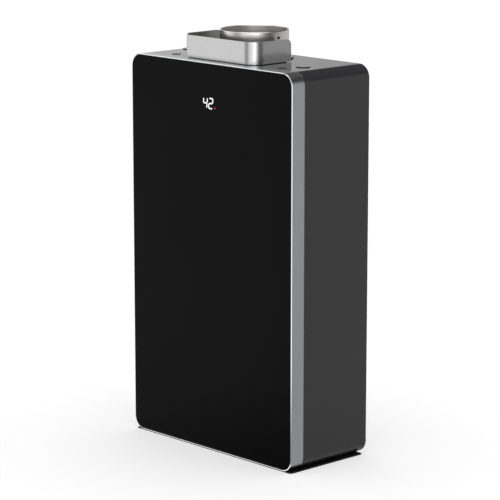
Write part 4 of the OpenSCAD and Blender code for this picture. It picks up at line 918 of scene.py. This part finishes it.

# %% [markdown]
# ## Pipe threads
#
# The three nipples carry a pipe thread. A thread is a ridge that follows a helix, so a spiral curve with a
# small profile swept along it gives the real thing.

# %% Threads on the nipples
RIDGE_SIDES = 6
tree, size = new_tree("pipe_thread", ["Radius", "Length", "Turns", "Ridge"])
helix = add(tree, "GeometryNodeCurveSpiral", {
    "Resolution": ROUND_STEPS, "Rotations": size["Turns"], "Start Radius": size["Radius"],
    "End Radius": size["Radius"], "Height": size["Length"]})
ridge = add(tree, "GeometryNodeCurvePrimitiveCircle", {"Resolution": RIDGE_SIDES, "Radius": size["Ridge"]})
thread = add(tree, "GeometryNodeCurveToMesh", {"Curve": helix, "Profile Curve": ridge, "Fill Caps": True})
thread_tree = end_tree(tree, size, thread)

NIPPLE_R = 13.3
THREAD_PITCH = 1.81
THREAD_TURNS = 8.0
RIDGE_R = 0.42 * THREAD_PITCH
thread_places = []
for node in ("gas_nipple", "cold_nipple", "hot_nipple"):
    low, high = box_mm(node)
    thread_places.append(((low.x + high.x) / 2, (low.y + high.y) / 2, low.z + THREAD_PITCH))
threads = grow("nipple_threads", thread_tree, thread_places, {
    "Radius": NIPPLE_R * MM, "Length": THREAD_PITCH * THREAD_TURNS * MM, "Turns": THREAD_TURNS,
    "Ridge": RIDGE_R * MM}, brass)
ride_along(threads, "heater")

# %% [markdown]
# ## Chip legs
#
# The controller's legs are one small bent strip of tinned wire, repeated along two sides. A line of points
# with a small box on each is enough at this size.

# %% Chip legs
tree, size = new_tree("chip_leg", ["Reach", "Width", "Thickness"])
leg_size = add(tree, "ShaderNodeCombineXYZ", {0: size["Reach"], 1: size["Thickness"], 2: size["Width"]})
leg = add(tree, "GeometryNodeMeshCube", {"Size": leg_size})
leg_tree = end_tree(tree, size, leg)

CHIP_LOW = Vector((parts_low.x + 17, parts_high.y, parts_low.z + 38))
CHIP_SIDE = 16.0
LEGS, LEG_PITCH, LEG_START = 10, 1.51, 1.2
LEG_OUT, LEG_LIFT = 0.5, 0.6
LEG_SIZES = {"Reach": 1.6 * MM, "Width": 0.6 * MM, "Thickness": 0.3 * MM}
leg_places = [(x, CHIP_LOW.y - LEG_LIFT, CHIP_LOW.z + LEG_START + LEG_PITCH * step) for step in range(LEGS)
              for x in (CHIP_LOW.x - LEG_OUT, CHIP_LOW.x + CHIP_SIDE + LEG_OUT)]
legs = grow("controller_legs", leg_tree, leg_places, LEG_SIZES, satin_stainless)
ride_along(legs, "heater")

# %% [markdown]
# ## Readout
#
# A small display shows the set temperature through the glass. Its figures are the plain seven-bar kind,
# leaning a little. Each bar is a flat prism with pointed ends, so the bars of a figure nest at its corners.

# %% Readout
FIGURE_W, FIGURE_H, BAR_W, LEAN = 8.0, 15.0, 1.9, 0.10
BAR_GAP = 0.25
FIGURE_STEP = 12.0
PRINT_T = 0.05
PRINT_BACK, PRINT_FRONT = glass_low.y, glass_low.y - PRINT_T
READOUT = (-14.0, 524.0)
CORNERS = {"tl": (0, 1), "tr": (1, 1), "ml": (0, 0.5), "mr": (1, 0.5), "bl": (0, 0), "br": (1, 0)}
FIGURES = {"4": [("tl", "ml"), ("ml", "mr"), ("tr", "mr"), ("mr", "br")],
           "2": [("tl", "tr"), ("tr", "mr"), ("ml", "mr"), ("ml", "bl"), ("bl", "br")]}


def prism(bm, points):
    """A flat prism from points of (across, up), from the glass forwards."""
    front = [bm.verts.new((x, PRINT_FRONT, z)) for x, z in points]
    back = [bm.verts.new((x, PRINT_BACK, z)) for x, z in points]
    bm.faces.new(front)
    bm.faces.new(back)
    for i in range(len(points)):
        j = (i + 1) % len(points)
        bm.faces.new((front[i], front[j], back[j], back[i]))


def add_bar(bm, start, stop, left):
    """One bar of a figure between two of its corners, with pointed ends and the figure's lean."""
    start, stop = (Vector((CORNERS[c][0] * FIGURE_W, CORNERS[c][1] * FIGURE_H)) for c in (start, stop))
    along = (stop - start).normalized()
    side = Vector((-along.y, along.x)) * BAR_W / 2
    start, stop = start + along * BAR_GAP, stop - along * BAR_GAP
    inner = along * BAR_W / 2
    ring = [start, start + inner + side, stop - inner + side, stop, stop - inner - side, start + inner - side]
    prism(bm, [(left + p.x + LEAN * p.y, READOUT[1] + p.y) for p in ring])


bm = bmesh.new()
for place, figure in enumerate("42"):
    for start, stop in FIGURES[figure]:
        add_bar(bm, start, stop, READOUT[0] + place * FIGURE_STEP)
figures = link_mesh("readout_figures", bm)
figures.data.materials.append(lit_white)
ride_along(figures, "front_cover")

LAMP_R, LAMP_STEPS = 1.3, 24
LAMP_STEP = 1.5
LAMP = (READOUT[0] + 2 * FIGURE_STEP + LAMP_STEP, READOUT[1] + LAMP_R)
bm = bmesh.new()
prism(bm, circle(LAMP, LAMP_R, LAMP_STEPS))
lamp = link_mesh("readout_lamp", bm)
lamp.data.materials.append(lit_red)
ride_along(lamp, "front_cover")

# %% [markdown]
# ## Studio
#
# Metal and gloss paint look like what stands round them, so the studio matters as much as the finish. A
# plain white room would make everything flat. Photographers put up white panels and leave dark gaps
# between them, and the gaps draw the edges of bent sheet and turned tube. Here the panels are a ramp over
# the compass: one brightness for each direction, read by the room and by the floor, for glossy rays only.
# The camera itself sees a white room and a white floor with a soft contact shadow.

# %% Panels round the object
# Direction in degrees, from the front towards the right, and brightness of what stands there.
PANELS = [
    (-90, 0.15), (-80, 0.55), (-70, 1.16), (-46, 1.19), (-36, 0.97), (-26, 0.70), (-16, 0.50), (-8, 0.50),
    (0, 0.84), (8, 1.13), (22, 1.37), (34, 1.60), (42, 2.00), (50, 2.20), (57, 2.15), (64, 1.50), (72, 0.82),
    (80, 0.41), (88, 0.25), (98, 0.16), (108, 0.19), (118, 0.33), (128, 0.46), (140, 0.49), (162, 0.63),
    (190, 0.66), (222, 0.52), (226, 0.60), (229, 0.85), (236, 0.90), (252, 0.50), (266, 0.12)]
# The same higher up: bright in front, dark behind, so that the upper edges of the case stay dark.
HIGH_PANELS = [
    (-90, 1.60), (-80, 2.00), (-64, 0.90), (-40, 0.50), (0, 1.10), (60, 1.20), (90, 0.50), (112, 0.03),
    (236, 0.03), (262, 0.60)]
BRIGHTEST = 2.5
LOW_EDGE, HIGH_EDGE = math.sin(math.radians(14)), math.sin(math.radians(26))


def panel_ramp(tree, direction, panels):
    """The brightness of the panel in a direction, from its angle round Z."""
    angle = add(tree, "ShaderNodeTexGradient", {"Vector": direction}, gradient_type="RADIAL")
    ramp = add(tree, "ShaderNodeValToRGB", {"Fac": angle.outputs["Fac"]})
    stops = ramp.color_ramp.elements
    while len(stops) < len(panels):
        stops.new(1.0)
    for stop, (degrees, brightness) in zip(stops, panels):
        stop.position = (degrees + 90) / 360
        stop.color = (brightness / BRIGHTEST,) * 3 + (1.0,)
    return add(tree, "ShaderNodeMath", {0: ramp, 1: BRIGHTEST}, operation="MULTIPLY")


def seen_directly(tree):
    """Light path, and 1 for camera and transmission rays."""
    path = add(tree, "ShaderNodeLightPath").outputs
    return path, add(tree, "ShaderNodeMath", {0: path["Is Camera Ray"], 1: path["Is Transmission Ray"]},
                     operation="MAXIMUM")


# %% [markdown]
# ## Floor
#
# The floor is white paper that keeps the object's shadow. Mirrored rays read the panels on it, as if it
# were as glossy as the table under a product, and measured from near the object's front. Close to the foot
# the table would show the object and its shadow instead, so there it is bright at the left and dim at the
# right. The lowest edge of the frame mirrors only a narrow strip before the foot, which is brighter still.

# %% Floor
FLOOR_SIZE = 80.0
FLOOR_WHITE = 0.58
FLOOR_LIFT = 0.45
COMPASS_PLACE = (0.10, -0.08, 0.0)
NEAR, FAR = 0.35, 0.80
NEAR_LEFT, NEAR_RIGHT = -0.25, 0.10
LEVEL_LEFT, LEVEL_RIGHT = 1.04, 0.45
STRIP_FAR, STRIP_NEAR, STRIP_END = -0.092, -0.088, -0.0765
STRIP_LEVEL = 2.4
WHITE = (1.0, 1.0, 1.0, 1.0)

bpy.ops.mesh.primitive_plane_add(size=FLOOR_SIZE)
floor = bpy.context.object
floor.name = "studio_floor"
paper, tree, shader, place = start_material("studio_paper_white", {
    "Base Color": (FLOOR_WHITE,) * 3 + (1.0,), "Roughness": 0.9, "Specular IOR Level": 0.0,
    "Emission Color": WHITE})
path, direct = seen_directly(tree)
lift = add(tree, "ShaderNodeMath", {0: direct, 1: FLOOR_LIFT}, operation="MULTIPLY")
feed(shader, {"Emission Strength": lift})
from_corner = add(tree, "ShaderNodeVectorMath", {0: place, 1: COMPASS_PLACE}, operation="SUBTRACT")
distance = add(tree, "ShaderNodeVectorMath", {0: place}, operation="LENGTH").outputs["Value"]
far = add(tree, "ShaderNodeMapRange", {"Value": distance, "From Min": NEAR, "From Max": FAR})
across, along, _ = add(tree, "ShaderNodeSeparateXYZ", {0: place}).outputs
near = add(tree, "ShaderNodeMapRange", {
    "Value": across, "From Min": NEAR_LEFT, "From Max": NEAR_RIGHT, "To Min": LEVEL_LEFT,
    "To Max": LEVEL_RIGHT})
level = add(tree, "ShaderNodeMix", {0: far, 2: near, 3: panel_ramp(tree, from_corner, PANELS)})
strip = add(tree, "ShaderNodeMapRange", {"Value": along, "From Min": STRIP_FAR, "From Max": STRIP_NEAR})
in_front = add(tree, "ShaderNodeMath", {0: along, 1: STRIP_END}, operation="LESS_THAN")
strip = add(tree, "ShaderNodeMath", {0: strip, 1: in_front}, operation="MULTIPLY")
level = add(tree, "ShaderNodeMix", {0: strip, 2: level, 3: STRIP_LEVEL})
mirrored = add(tree, "ShaderNodeEmission", {"Strength": level})
choice = add(tree, "ShaderNodeMixShader", {0: path["Is Glossy Ray"], 1: shader, 2: mirrored})
feed(tree.nodes["Material Output"], {"Surface": choice})
floor.data.materials.append(paper)
print("floor ready")

# %% [markdown]
# ## Room and light
#
# The room is white for the camera, half as bright as fill light, and shows the panels to mirrored rays.
# One broad overhead light gives the soft shadow at the foot.

# %% Room and light
ROOM_FILL = 0.5
SUN_LEVEL = 0.5
SUN_SPREAD = 60

room = bpy.data.worlds.new("white_room")
bpy.context.scene.world = room
room.use_nodes = True
tree = room.node_tree
path, direct = seen_directly(tree)
way = add(tree, "ShaderNodeTexCoord").outputs["Generated"]
up = add(tree, "ShaderNodeSeparateXYZ", {0: way}).outputs["Z"]
high = add(tree, "ShaderNodeMapRange", {"Value": up, "From Min": LOW_EDGE, "From Max": HIGH_EDGE})
mirrored = add(tree, "ShaderNodeMix", {
    0: high, 2: panel_ramp(tree, way, PANELS), 3: panel_ramp(tree, way, HIGH_PANELS)})
plain = add(tree, "ShaderNodeMapRange", {"Value": direct, "To Min": ROOM_FILL, "To Max": 1.0})
level = add(tree, "ShaderNodeMix", {0: path["Is Glossy Ray"], 2: plain, 3: mirrored})
feed(tree.nodes["Background"], {"Color": WHITE, "Strength": level})

overhead_data = bpy.data.lights.new("overhead_light", "SUN")
overhead_data.energy = SUN_LEVEL * math.pi
overhead_data.angle = math.radians(SUN_SPREAD)
as_object("overhead_light", overhead_data)
print("studio ready")
